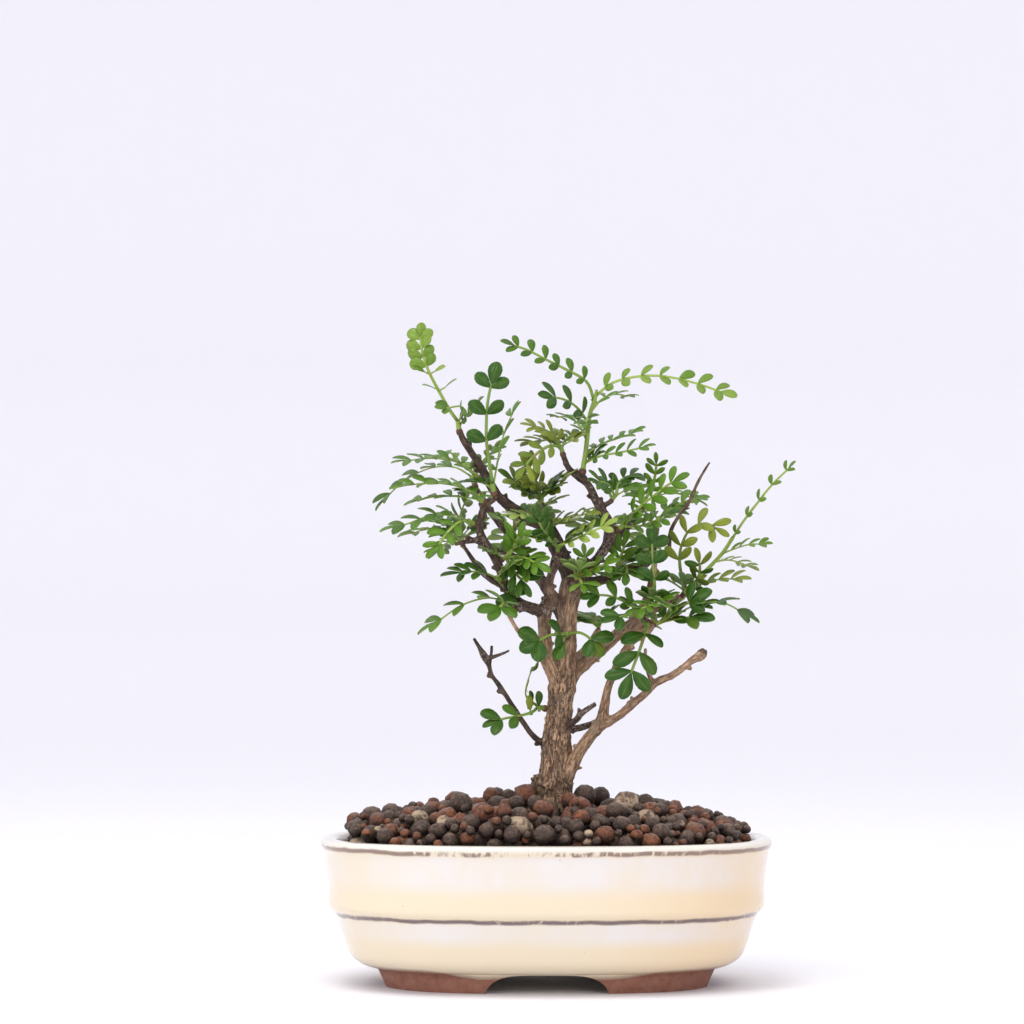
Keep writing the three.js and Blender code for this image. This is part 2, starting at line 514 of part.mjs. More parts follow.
    leaves: [
      { path: [[29.5, -8, 156.5], [35, -10, 161], [41, -11, 165.5], [47, -12, 168]],
        pairs: 3, leaflet: [5.9, 5.6], facing: [-0.3, -0.75, 0.55] },
      { path: [[31, -5, 151.5], [37, -6.5, 153.5], [43, -8.5, 154]],
        pairs: 2, leaflet: [5.4, 4.2], facing: [0, -0.6, 0.8] },
    ],
  },
  {
    name: "spray_right_stub_high",
    colour: MATURE,
    stem: [[21.9, -2.9, 160.2, 0.7], [23.4, -2.7, 162, 0.7]],
    leaves: [
      { path: [[24.5, 1.5, 166.5], [28.5, 4, 168.6], [33, 5.5, 166]],
        pairs: 2, leaflet: [5.4, 4], facing: [-0.1, -0.5, 0.85] },
      { path: [[21, -6.5, 165], [17.5, -10, 166], [14, -12.5, 163.5]],
        pairs: 1, leaflet: [5.2, 4.4], facing: [0.1, -0.8, 0.6] },
    ],
  },
  {
    name: "spray_back_right_end",
    colour: YOUNG,
    stem: [[33.2, 22.1, 158.9, 0.9], [34.2, 22.4, 161.8, 0.8]],
    leaves: [
      { path: [[36.5, 22, 166], [37.5, 21, 171], [38, 20, 177]],
        pairs: 2, leaflet: [4.7, 4.1], facing: [-0.1, -0.9, 0.4] },
      { path: [[41, 25, 163.5], [48, 28, 163], [55, 30, 159.5]],
        pairs: 2, leaflet: [7, 6.1], facing: [0.1, 0.1, 1] },
      { path: [[33, 29, 165.5], [31, 36, 166.5], [29, 43, 164]],
        pairs: 2, leaflet: [6.8, 6.1], facing: [0, 0.3, 0.95] },
    ],
  },
  {
    name: "spray_right_stub",
    colour: FRESH,
    stem: [[37.5, 11, 152.6, 0.9], [38.2, 12.2, 155, 0.8]],
    leaves: [
      { path: [[42.5, 14.5, 158], [48, 16, 160.8], [55, 17, 162]],
        pairs: 2, leaflet: [5.7, 5.4], facing: [-0.2, -0.5, 0.85] },
      { path: [[35.5, 9, 157], [32.5, 5.5, 156.5], [30, 3.5, 153.5]],
        pairs: 1, leaflet: [5, 4], facing: [0, -0.7, 0.7] },
    ],
  },
  {
    name: "spray_left_limb_tip",
    colour: REDDISH,
    stem: [[3.7, -7.2, 142.8, 0.8], [4, -8.4, 145, 0.7]],
    leaves: [
      { path: [[9.5, -12, 147], [16, -14, 150], [23, -15, 152.6]],
        pairs: 2, leaflet: [4.9, 4.1], facing: [0, -0.7, 0.7] },
      { path: [[0.5, -12, 148], [-2.5, -14, 152.5], [-3.5, -15, 157]],
        pairs: 2, leaflet: [4.6, 3.4], facing: [0, -0.9, 0.4] },
    ],
  },
  {
    name: "spray_right_facing",
    colour: MATURE,
    stem: [[34.4, 0.6, 125.3, 0.8], [35.3, -1.6, 126.4, 0.8]],
    leaves: [
      { path: [[36, -5, 131], [35.4, -7, 138.5], [34.7, -8, 151]],
        pairs: 3, leaflet: [6.1, 5.9], facing: [0, -1, 0.1], bare: 0.14 },
    ],
  },
  {
    name: "spray_main_front",
    colour: YOUNG,
    stem: [[9.8, -5, 134, 0.8], [10.4, -7, 135.2, 0.8]],
    leaves: [
      { path: [[12.5, -9, 138.4], [12.4, -9.6, 142.4], [10, -9, 144]],
        pairs: 1, leaflet: [4, 3.6], facing: [0, -0.9, 0.4] },
      { path: [[14.5, -9.5, 137], [19, -11.5, 138.5], [24, -13, 138.6]],
        pairs: 2, leaflet: [4.8, 3.6], facing: [0, -0.7, 0.7] },
      { path: [[11, -11, 134], [12, -14.5, 131.5], [13, -17, 128.6]],
        pairs: 1, leaflet: [4.8, 3.8], facing: [0, -0.6, 0.8] },
    ],
  },
  {
    name: "spray_knot_left",
    colour: MATURE,
    stem: [[32.2, -4.8, 121, 0.7], [31.2, -5.4, 123, 0.7]],
    leaves: [
      { path: [[26, -7.5, 126.5], [19, -8.5, 128.6], [11.5, -8.5, 127.5]],
        pairs: 2, leaflet: [5.9, 5.9], facing: [0, -0.8, 0.6] },
    ],
  },
  {
    name: "spray_knot_right",
    colour: FRESH,
    stem: [[36.2, -3.8, 118.9, 0.8], [38.4, -4.2, 119.8, 0.8]],
    leaves: [
      { path: [[41.5, -9, 123], [38, -14, 125.5], [32, -18, 124.5], [27, -20, 121]],
        pairs: 2, leaflet: [5.6, 3.8], facing: [0, -0.4, 0.9], bare: 0.4 },
      { path: [[44.7, -6, 123], [51.5, -8, 126], [60, -10, 125.5], [69.5, -11, 119]],
        pairs: 3, leaflet: [7.2, 5.4], facing: [0, -0.3, 0.95], bare: 0.2 },
    ],
  },
  {
    name: "spray_right_arm",
    colour: FRESH,
    stem: [[45.9, 1.9, 129, 0.8], [46.7, 1.6, 131, 0.8]],
    leaves: [
      { path: [[44.8, 0.4, 137], [44.8, -0.6, 144], [48, -1.5, 150.6], [54, -2.5, 152.4], [60, -3.5, 147]],
        pairs: 3, leaflet: [5.9, 5.4], facing: [-0.3, -0.75, 0.55], bare: 0.3 },
      { path: [[50.3, -2, 134], [51, -5, 138.5], [48.5, -7, 143]],
        pairs: 2, leaflet: [5.2, 4], facing: [0, -0.9, 0.4] },
      { path: [[52, -1, 132.5], [59, -4, 134], [67.5, -6, 133.5]],
        pairs: 2, leaflet: [5.7, 4.6], facing: [0, -0.4, 0.9] },
    ],
  },
  {
    name: "spray_far_right",
    colour: FRESH,
    stem: [[47.6, 3.4, 129.4, 0.8], [51.5, 4, 134.5, 0.8], [55.7, 4, 139, 0.7], [59, 3, 142.6, 0.7], [62.5, 2, 148, 0.7]],
    leaves: [
      { at: 0.97, path: [[66, 0, 153.5], [70.5, -2, 159.5], [75.3, -4, 165.5], [83, -5, 173]],
        pairs: 3, leaflet: [5.1, 4.6], facing: [-0.5, -0.6, 0.6], bare: 0.1 },
      { at: 0.72, path: [[64, -1, 144.5], [69, -4, 145.6], [75, -6, 145]],
        pairs: 2, leaflet: [5.1, 4.4], facing: [0, -0.4, 0.9] },
      { at: 0.56, path: [[61, 8, 140.5], [66, 12, 139.5], [71, 15, 137]],
        pairs: 2, leaflet: [5.1, 4.4], facing: [0.1, 0.2, 0.95] },
    ],
  },
  {
    name: "spray_back_left_twig",
    colour: MATURE,
    stem: [[-26.7, 14.9, 148.4, 0.7], [-28.8, 15, 149.6, 0.7]],
    leaves: [
      { path: [[-33, 20, 153], [-38, 25, 154.5], [-43, 30, 152.5]],
        pairs: 2, leaflet: [7, 6.1], facing: [-0.2, 0.1, 1] },
      { path: [[-29, 18, 155], [-27.5, 21, 160], [-25, 23, 164.5]],
        pairs: 2, leaflet: [5.9, 5.1], facing: [-0.7, 0.5, 0.3] },
    ],
  },
  {
    name: "spray_back_middle",
    colour: FRESH,
    stem: [[-10.8, 23.4, 151.1, 0.8], [-10, 24, 153.4, 0.8]],
    leaves: [
      { path: [[-7, 30, 155.5], [-3, 36, 156.5], [2, 42, 154.5]],
        pairs: 2, leaflet: [7, 6.1], facing: [0.1, 0.3, 0.95] },
      { path: [[-5, 21, 157], [1, 18.5, 160], [7, 16, 160.5]],
        pairs: 2, leaflet: [6.1, 5.4], facing: [0, 0, 1] },
      { path: [[-12, 31, 150.5], [-14, 38, 147.5], [-15.5, 45, 142.5]],
        pairs: 2, leaflet: [7, 6.1], facing: [-0.1, 0.6, 0.8] },
    ],
  },
  {
    name: "spray_back_right_twig",
    colour: MATURE,
    stem: [[21.1, 33.7, 150.7, 0.7], [21.4, 35, 152.6, 0.7]],
    leaves: [
      { path: [[18, 40, 154], [14, 45, 153], [10, 49.5, 149.5]],
        pairs: 2, leaflet: [6.4, 5.4], facing: [0, 0.5, 0.85] },
      { path: [[27, 37, 150.5], [33, 39.5, 147], [39, 41, 141.5]],
        pairs: 2, leaflet: [7, 6.1], facing: [0.3, 0.4, 0.85] },
    ],
  },
  {
    name: "spray_back_low",
    colour: MATURE,
    stem: [[18.1, 26.35, 117.25, 0.7], [18.6, 28.2, 119.4, 0.7]],
    leaves: [
      { path: [[24, 31, 121.5], [31, 33, 120.5], [38, 34, 116.5]],
        pairs: 2, leaflet: [7, 6.1], facing: [0.1, 0.1, 1] },
      { path: [[14, 33, 121], [9, 38, 119.5], [4, 42, 115.5]],
        pairs: 2, leaflet: [7, 6.1], facing: [-0.1, 0.3, 0.95] },
    ],
  },
  {
    name: "spray_leader_top",
    colour: FRESH,
    stem: [[-1.6, 1.9, 159.1, 0.9], [-1.5, 1.4, 162, 0.8]],
    leaves: [
      { path: [[-3.5, -2, 166], [-6, -5, 170.5], [-8.5, -7, 175]],
        pairs: 2, leaflet: [5.6, 4.8], facing: [0.1, -0.8, 0.5] },
      { path: [[3, -1, 164.5], [6.5, -5, 167], [9, -9, 167.5]],
        pairs: 2, leaflet: [5.4, 4.6], facing: [0, -0.6, 0.8] },
      { path: [[-6, -1, 162.5], [-10, -3.5, 164.5], [-14, -5.5, 163.8]],
        pairs: 2, leaflet: [5.4, 4.6], facing: [0, -0.5, 0.85] },
      { path: [[-2.5, 7, 163.5], [-5, 13, 165], [-8, 18, 163.5]],
        pairs: 2, leaflet: [6, 5], facing: [-0.1, 0.2, 1] },
    ],
  },
  {
    name: "spray_leader_front",
    colour: YOUNG,
    stem: [[0.9, -1.8, 149.6, 0.8], [0.4, -4, 151.2, 0.8]],
    leaves: [
      { path: [[-4, -7, 154], [-9, -9.5, 155], [-14.5, -11.5, 153.5]],
        pairs: 2, leaflet: [6.2, 5], facing: [0, -0.6, 0.8] },
      { path: [[5.5, -6.5, 153], [11, -8.5, 155], [17, -10, 155]],
        pairs: 2, leaflet: [5.8, 4.8], facing: [0, -0.6, 0.8] },
    ],
  },
  {
    name: "spray_left_inner",
    colour: MATURE,
    stem: [[-14.3, -8.7, 140.5, 0.8], [-12.3, -10.2, 141.6, 0.8]],
    leaves: [
      { path: [[-10.5, -12.5, 145], [-9, -14.5, 149], [-8.5, -15, 153]],
        pairs: 1, leaflet: [5.4, 4.8], facing: [0, -0.95, 0.3] },
      { path: [[-8.5, -13, 141.2], [-4.5, -16, 139.6], [0, -18, 136]],
        pairs: 2, leaflet: [5.4, 4.6], facing: [0, -0.7, 0.7] },
    ],
  },
  {
    name: "spray_dark_branch",
    colour: MATURE,
    stem: [[24.3, 4.6, 137.4, 0.8], [23.9, 2.6, 139, 0.8]],
    leaves: [
      { path: [[25.5, 1, 143], [26.5, 1, 146.5], [27.5, 1, 150]],
        pairs: 1, leaflet: [5.4, 4.6], facing: [0, -0.9, 0.4] },
      { path: [[26.5, -1, 138.6], [26.8, -4.5, 136], [26, -8, 132]],
        pairs: 2, leaflet: [5.2, 4.4], facing: [0, -0.6, 0.8] },
    ],
  },
];

const tree = new THREE.Group();
tree.add(meshOf("pot", makePot(), 0xe9dfc2, 0.25));
tree.add(meshOf("soil", makeSoil(), 0x57463c, 0.95));
tree.add(meshOf("wood", makeWood(), 0x6b5a44, 0.9));
for (const { name, colour, stem, leaves } of sprays) {
  const stemCurve = new THREE.CatmullRomCurve3(stem.map(([x, y, z]) => new THREE.Vector3(x, y, z)));
  const startOf = ({ at }, order) => stemCurve.getPointAt(at ?? 0.95 - 0.3 * order);
  const shoot = leaves.reduce((grown, row, i) => grown.add(leaf(startOf(row, i), row)), limb(stem, 4));
  tree.add(meshOf(name, shoot, colour, 0.45));
}
tree.position.set(-CENTRE_OF_BOX[0], -CENTRE_OF_BOX[1], 0);

export default tree;
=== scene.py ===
import math
import random

import bpy
import numpy as np
from mathutils import Matrix, Vector


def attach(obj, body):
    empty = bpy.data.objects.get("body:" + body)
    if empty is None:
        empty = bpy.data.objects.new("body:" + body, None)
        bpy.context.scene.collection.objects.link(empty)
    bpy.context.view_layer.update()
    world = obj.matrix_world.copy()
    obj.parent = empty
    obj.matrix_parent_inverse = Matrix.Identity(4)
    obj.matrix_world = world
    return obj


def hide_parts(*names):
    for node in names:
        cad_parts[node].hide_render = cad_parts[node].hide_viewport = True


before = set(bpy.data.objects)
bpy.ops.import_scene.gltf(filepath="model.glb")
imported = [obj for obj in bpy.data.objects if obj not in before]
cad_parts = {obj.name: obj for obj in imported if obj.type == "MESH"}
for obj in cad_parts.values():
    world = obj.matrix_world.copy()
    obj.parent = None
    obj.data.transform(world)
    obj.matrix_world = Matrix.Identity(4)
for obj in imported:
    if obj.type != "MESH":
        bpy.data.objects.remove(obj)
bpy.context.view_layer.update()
random.seed(2562)


# The stage: a pale floor whose edge rises into a low wall all round, so that no horizon shows, soft
# light from windows, and the camera a good metre in front of the tree, level with its lower branches.
bpy.context.scene.view_settings.view_transform = "Standard"
floor_rows = [(1.5, 0), (1.9, 0.02), (2.3, 0.12), (2.6, 0.4), (2.75, 0.9), (2.8, 1.8)]
floor_colour = (0.86, 0.85, 0.88, 1)
sky_colour = (0.96, 0.96, 1, 1)
sky_strength = 1.12
tree_middle = Vector((0, 0, 0.1))

bpy.ops.object.select_all(action="DESELECT")
bpy.ops.mesh.primitive_circle_add(vertices=96, radius=floor_rows[0][0], fill_type="NGON")
floor = bpy.context.object
floor.name = "floor"
bpy.ops.object.mode_set(mode="EDIT")
bpy.ops.mesh.select_mode(type="EDGE")
for (before, low), (after, high) in zip(floor_rows, floor_rows[1:]):
    bpy.ops.mesh.extrude_edges_move(TRANSFORM_OT_translate={"value": (0, 0, high - low)})
    bpy.ops.transform.resize(value=(after / before, after / before, 1), center_override=(0, 0, high))
bpy.ops.object.mode_set(mode="OBJECT")
bpy.ops.object.shade_smooth()
floor_material = bpy.data.materials.new("floor")
floor_material.use_nodes = True
floor_material.node_tree.nodes["Principled BSDF"].inputs["Base Color"].default_value = floor_colour
floor_material.node_tree.nodes["Principled BSDF"].inputs["Roughness"].default_value = 0.8
floor.data.materials.append(floor_material)

sky = bpy.data.worlds.new("sky")
sky.use_nodes = True
sky.node_tree.nodes["Background"].inputs["Color"].default_value = sky_colour
sky.node_tree.nodes["Background"].inputs["Strength"].default_value = sky_strength
bpy.context.scene.world = sky

window_lights = {
    "window_left": {"place": (-1.1, -0.9, 0.6), "size": 0.32, "power": 5},
    "window_right": {"place": (0.5, -1.2, 0.5), "size": 0.14, "power": 2},
    "window_above": {"place": (-0.2, -0.4, 1.4), "size": 0.5, "power": 6},
}
for name, light in window_lights.items():
    bpy.ops.object.light_add(type="AREA", location=light["place"])
    window = bpy.context.object
    window.name = name
    window.data.size = light["size"]
    window.data.energy = light["power"]
    aim = tree_middle - Vector(light["place"])
    window.rotation_euler = aim.to_track_quat("-Z", "Y").to_euler()

camera_data = bpy.data.cameras.new("camera")
camera_data.lens = 118.1
camera_data.sensor_width = 36
camera = bpy.data.objects.new("camera", camera_data)
bpy.context.scene.collection.objects.link(camera)
camera.location = (-0.01553, -1.12, 0.118)
camera.rotation_euler = (math.radians(91.96), 0, 0)
bpy.context.scene.camera = camera


# The pot: an oval bowl of stoneware, thrown and pressed to its shape, with a rolled lip, a rib round
# the middle and four feet cut from a low ring. Cream glaze covers it down to the feet, which stay bare
# red-brown clay. Two drainage holes go through its floor.
pot_axis = Vector((-0.0042, 0, 0))
# Half width and height, from the middle of the underside up the wall, over the lip and down inside.
pot_rows = [
    (0.03, 0.0063), (0.052, 0.0063), (0.058, 0.0063), (0.0606, 0.0069), (0.063, 0.0082), (0.0652, 0.0102),
    (0.0662, 0.013), (0.0674, 0.0165), (0.0687, 0.0205), (0.0695, 0.023), (0.07, 0.0241), (0.0707, 0.0247),
    (0.0719, 0.0257), (0.0724, 0.0268), (0.0724, 0.0282), (0.0722, 0.03), (0.0722, 0.033), (0.0726, 0.0365),
    (0.0732, 0.0405), (0.0735, 0.0435), (0.0738, 0.0449), (0.0742, 0.0456), (0.07465, 0.0463),
    (0.07475, 0.0471), (0.0744, 0.0479), (0.0737, 0.0484), (0.072, 0.0486), (0.0702, 0.0485),
    (0.0694, 0.0481), (0.0689, 0.047), (0.0684, 0.044), (0.0677, 0.03), (0.0616, 0.014), (0.058, 0.0106),
    (0.03, 0.0106),
]
# The oval's half depth is this much less than its half width, and shrinks with it inside the core.
depth_lost = 0.019
core_half_width = 0.056
# The power of an ellipse is 2, and a higher one makes the oval squarer.
oval_power = 2.6
# Half width and height of the ring that the feet are cut from.
foot_rows = [(0.054, 0), (0.0566, 0.0073), (0.0463, 0.0073), (0.0475, 0)]
foot_rounding = 0.0005
# Half width and turn of the low arch from front to back, and of the one from side to side.
foot_arches = [(0.02, 0), (0.012, math.pi / 2)]
arch_height = 0.0062
arch_clearance = 0.0001
drain_radius = 0.0065
drain_centres = [pot_axis + Vector((side * 0.027, 0, 0.008)) for side in (-1, 1)]


def half_depth(half_width):
    """How deep the oval is from its middle, where it is this wide from its middle."""
    if half_width > core_half_width:
        return half_width - depth_lost
    return half_width * (core_half_width - depth_lost) / core_half_width


def oval(half_width, height):
    """A ring of edges in the pot's oval, left selected in edit mode."""
    bpy.ops.object.select_all(action="DESELECT")
    bpy.ops.mesh.primitive_circle_add(vertices=96, radius=1, location=pot_axis + Vector((0, 0, height)))
    ring = bpy.context.object
    bpy.ops.object.transform_apply(location=True)
    for vertex in ring.data.vertices:
        across, deep = vertex.co.x - pot_axis.x, vertex.co.y
        vertex.co.x = pot_axis.x + math.copysign(abs(across) ** (2 / oval_power), across) * half_width
        vertex.co.y = math.copysign(abs(deep) ** (2 / oval_power), deep) * half_depth(half_width)
    bpy.ops.object.mode_set(mode="EDIT")
    bpy.ops.mesh.select_mode(type="EDGE")
    bpy.ops.mesh.select_all(action="SELECT")
    return ring


def raise_rings(rows):
    """Extrudes the selected ring through rows of half width and height."""
    for (before, low), (after, high) in zip(rows, rows[1:]):
        bpy.ops.mesh.extrude_edges_move(TRANSFORM_OT_translate={"value": (0, 0, high - low)})
        deeper = half_depth(after) / half_depth(before)
        centre = pot_axis + Vector((0, 0, high))
        bpy.ops.transform.resize(value=(after / before, deeper, 1), center_override=centre)


def face_outward():
    """Turns all faces of the mesh in edit mode outward and leaves edit mode."""
    bpy.ops.mesh.select_all(action="SELECT")
    bpy.ops.mesh.normals_make_consistent(inside=False)
    bpy.ops.object.mode_set(mode="OBJECT")


def oval_body(rows):
    """A body in the pot's oval through rows of half width and height, closed at both ends."""
    body = oval(*rows[0])
    bpy.ops.mesh.edge_face_add()
    bpy.ops.mesh.select_all(action="SELECT")
    raise_rings(rows)
    bpy.ops.mesh.edge_face_add()
    face_outward()
    return body


def finish_shape(piece, *modifiers):
    """Adds each modifier with its settings to the piece and applies it."""
    bpy.ops.object.select_all(action="DESELECT")
    bpy.context.view_layer.objects.active = piece
    piece.select_set(True)
    for kind, settings in modifiers:
        modifier = piece.modifiers.new(kind.lower(), kind)
        for setting, value in settings.items():
            setattr(modifier, setting, value)
        bpy.ops.object.modifier_apply(modifier=modifier.name)


def cut(piece, tool):
    """Cuts the tool's shape out of the piece and removes the tool."""
    finish_shape(piece, ("BOOLEAN", {"operation": "DIFFERENCE", "object": tool, "solver": "EXACT"}))
    bpy.data.objects.remove(tool)


def join(name, pieces):
    """Joins the pieces into the first one and names it."""
    bpy.ops.object.select_all(action="DESELECT")
    for piece in pieces:
        piece.select_set(True)
    bpy.context.view_layer.objects.active = pieces[0]
    bpy.ops.object.join()
    pieces[0].name = name
    pieces[0].data.name = name
    return pieces[0]


pot = oval_body(pot_rows)
finish_shape(pot, ("SUBSURF", {"levels": 1, "render_levels": 1}))

feet = oval(*foot_rows[0])
raise_rings(foot_rows)
bpy.ops.mesh.select_all(action="DESELECT")
bpy.ops.mesh.select_non_manifold()
bpy.ops.mesh.bridge_edge_loops()
face_outward()
for half_width, turn in foot_arches:
    bpy.ops.object.select_all(action="DESELECT")
    bpy.ops.mesh.primitive_cylinder_add(vertices=64, radius=1, depth=0.2, rotation=(math.pi / 2, 0, 0))
    arch = bpy.context.object
    bpy.ops.object.transform_apply(rotation=True)
    for vertex in arch.data.vertices:
        rise = arch_height * (1 - abs(vertex.co.x) ** 5) ** 0.75
        vertex.co.x *= half_width
        vertex.co.z = math.copysign(rise, vertex.co.z) - arch_clearance
    arch.data.transform(Matrix.Translation(pot_axis) @ Matrix.Rotation(turn, 4, "Z"))
    cut(feet, arch)
finish_shape(feet, ("BEVEL", {"width": foot_rounding, "segments": 2, "limit_method": "ANGLE"}))
for centre in drain_centres:
    bpy.ops.object.select_all(action="DESELECT")
    bpy.ops.mesh.primitive_cylinder_add(vertices=48, radius=drain_radius, depth=0.02, location=centre)
    cut(pot, bpy.context.object)
join("glazed_pot", [pot, feet])
bpy.ops.object.shade_smooth_by_angle(angle=math.radians(40))


class Wire:
    """The value that a socket gives. Sums with it add Math nodes."""

    def __init__(self, tree, socket):
        self.tree = tree
        self.socket = socket

    def math(self, operation, *others):
        node = self.tree.nodes.new("ShaderNodeMath")
        node.operation = operation
        for socket, value in zip(node.inputs, (self, *others)):
            plug(self.tree, socket, value)
        return Wire(self.tree, node.outputs[0])

    def __add__(self, other):
        return self.math("ADD", other)

    def __sub__(self, other):
        return self.math("SUBTRACT", other)

    def __rsub__(self, other):
        return (self * -1) + other

    def __mul__(self, other):
        return self.math("MULTIPLY", other)

    __radd__ = __add__
    __rmul__ = __mul__

    def step(self, low, high):
        """0 below low, 1 above high and smooth between them. It falls where low is the higher."""
        node = self.tree.nodes.new("ShaderNodeMapRange")
        node.interpolation_type = "SMOOTHSTEP"
        for socket, value in zip(node.inputs, (self, low, high, 0, 1)):
            plug(self.tree, socket, value)
        return Wire(self.tree, node.outputs[0])


def plug(tree, socket, value):
    """Puts a value, a colour or another socket's value into a socket."""
    if isinstance(value, Wire):
        tree.links.new(value.socket, socket)
    else:
        socket.default_value = value


class Finish:
    """A new material and its nodes."""

    def __init__(self, name):
        self.material = bpy.data.materials.new(name)
        self.material.use_nodes = True
        self.tree = self.material.node_tree
        self.shader = self.tree.nodes["Principled BSDF"]

    def node(self, kind, settings=None, sockets=None, output=0):
        node = self.tree.nodes.new("ShaderNode" + kind)
        for setting, value in (settings or {}).items():
            setattr(node, setting, value)
        for socket, value in (sockets or {}).items():
            plug(self.tree, node.inputs[socket], value)
        return Wire(self.tree, node.outputs[output])

    def place(self, stretch=(1, 1, 1), point=None):
        """The point on the object, or the one given, with a pattern's own stretch."""
        point = point or self.node("TexCoord", output="Object")
        return self.node("Mapping", sockets={"Vector": point, "Scale": stretch})

    def noise(self, scale, detail=3, stretch=(1, 1, 1), roughness=0.5, point=None):
        sockets = {"Scale": scale, "Detail": detail, "Roughness": roughness}
        return self.node("TexNoise", sockets={"Vector": self.place(stretch, point), **sockets})

    def along(self, axis, vector=None):
        """How far the point on the object, or the vector given, goes along an axis."""
        return self.node("SeparateXYZ", sockets={"Vector": vector or self.place()}, output=axis)

    def kept(self, name, output="Fac"):
        """The value that the mesh keeps under this name for each of its points."""
        return self.node("Attribute", {"attribute_name": name}, output=output)

    def mix(self, factor, first, second):
        """The first colour where the factor is 0 and the second where it is 1."""
        mixed = self.tree.nodes.new("ShaderNodeMix")
        mixed.data_type = "RGBA"
        plug(self.tree, mixed.inputs["Factor"], factor)
        plug(self.tree, mixed.inputs[6], first)
        plug(self.tree, mixed.inputs[7], second)
        return Wire(self.tree, mixed.outputs[2])

    def set(self, colour, roughness):
        plug(self.tree, self.shader.inputs["Base Color"], colour)
        plug(self.tree, self.shader.inputs["Roughness"], roughness)

    def bump(self, height, distance):
        normal = self.node("Bump", sockets={"Height": height, "Distance": distance, "Strength": 1})
        plug(self.tree, self.shader.inputs["Normal"], normal)

    def cover(self, piece):
        """Makes this the piece's only material."""
        piece.data.materials.clear()
        piece.data.materials.append(self.material)


cream = (0.74, 0.635, 0.455, 1)
warm_reflection_cream = (0.76, 0.585, 0.37, 1)
bluish_white = (0.73, 0.7, 0.685, 1)
lip_white = (0.72, 0.675, 0.59, 1)
line_purple = (0.1, 0.055, 0.07, 1)
lip_brown = (0.17, 0.09, 0.07, 1)
speck_brown = (0.33, 0.2, 0.13, 1)
thin_glaze_brown = (0.24, 0.12, 0.08, 1)
dark_clay = (0.17, 0.062, 0.037, 1)
light_clay = (0.38, 0.18, 0.12, 1)
rib_line_height = 0.0242

glaze = Finish("cream_glaze")
level = glaze.along("Z")
across = glaze.along("X") - pot_axis.x
out = across.math("ABSOLUTE")
wander = glaze.noise(90, detail=4) - 0.5
streaks = glaze.noise(700, detail=3, stretch=(1, 1, 0.12))
runs = glaze.noise(150, detail=5, stretch=(1, 1, 0.4), roughness=0.6)
clouds = glaze.noise(38, detail=5)
whiteness = level.step(0.031, 0.0375) * level.step(0.0462, 0.044)
lower_white = level.step(0.0145, 0.0195) * level.step(0.0246, 0.0225)
whiteness = whiteness.math("MAXIMUM", lower_white) * (clouds.step(0.32, 0.62) * 0.5 + 0.5)
whiteness = whiteness * (runs.step(0.25, 0.65) * 0.3 + 0.7) * (1 - out.step(0.03, 0.07) * 0.5)
# The right end is tinted warmer: a painted reflection of warm light from that side.
body = glaze.mix(across.step(0, 0.07), cream, warm_reflection_cream)
body = glaze.mix(whiteness * 0.9, body, bluish_white)
body = glaze.mix(level.step(0.0455, 0.0475), body, lip_white)
line = (level + wander * 0.0015 - rib_line_height).math("ABSOLUTE").step(0.0011, 0.0003)
line = line * (streaks * 0.7 + clouds).step(0.55, 0.8)
body = glaze.mix(line * 0.9, body, line_purple)
lip_edge = level + wander * 0.0016
lip_band = lip_edge.step(0.04495, 0.0457) * lip_edge.step(0.0471, 0.0464)
lip_band = lip_band * (streaks + glaze.noise(24, detail=2) + out.step(0.02, 0.06) * 0.3).step(0.92, 1.2)
body = glaze.mix(lip_band * 0.85, body, lip_brown)
specks = glaze.node("TexVoronoi", sockets={"Vector": glaze.place(), "Scale": 190}).step(0.055, 0.03)
specks = specks * glaze.noise(60, detail=1).step(0.52, 0.6)
body = glaze.mix(specks * 0.55, body, speck_brown)
edge = level + wander * 0.001 - out.step(0.02, 0.042) * 0.0022
covered = edge.step(0.0046, 0.0049)
body = glaze.mix(edge.step(0.0062, 0.0049) * 0.7, body, thin_glaze_brown)
clay = glaze.mix(glaze.noise(420, detail=4), dark_clay, light_clay)
glaze.set(glaze.mix(covered, clay, body), 0.85 - covered * (0.72 - streaks * 0.06))
plug(glaze.tree, glaze.shader.inputs["Coat Weight"], covered * 0.35)
glaze.shader.inputs["Coat Roughness"].default_value = 0.06
glaze.bump(clouds * 0.5 + glaze.noise(900, detail=2) * (1 - covered) * 0.4, 0.0006)
glaze.cover(pot)
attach(pot, "root")
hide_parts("pot")


# The soil: granules of baked clay, most of them round dark pellets, with rust-red and cream broken ones
# among them, dropped on a mound of the same soil. They lie loose on one another, up to the trunk and to
# the pot's wall, and small ones fill the gaps between the large ones.
soil_half_width = 0.0684
mound_edge = 0.0485
mound_rise = 0.0145
mound_shift = 0.006
mound_middle = pot_axis.x - mound_shift
# How far out towards the left end, and how much higher or lower than a plain mound it is there.
left_shoulder = [(0, 0), (0.25, 0.001), (0.5, -0.002), (0.72, 0), (0.9, 0.002), (1, 0.002)]
# Half width and height of the soil below the granules, and how deep under the mound its top lies.
soil_rows = [(0.03, 0.0109), (0.0575, 0.0109), (0.061, 0.014), (0.0671, 0.03), (0.0681, 0.04)]
top_depth = 0.0085
bed_depth = 0.0095
trunk_foot = pot_axis + Vector((0.0023, 0, 0))
trunk_clearance = 0.0056
wall_half_width = 0.0683
large_drops = 3000
small_drops = 900
drop_reach = (0.068, 0.049)
spots_tried = 5
large_radii = (0.003, 0.0034, 0.0038, 0.0041, 0.0043, 0.0045, 0.0047)
small_radii = (0.0013, 0.0024)
heap_limit = 0.0046
# Two granules touch at this share of their radii, because broken ones aren't round.
touching = 0.93
pellet_roughness = (0.03, 0.06, 0.09)
broken_roughness = (0.2, 0.28)
broken_share = 0.12
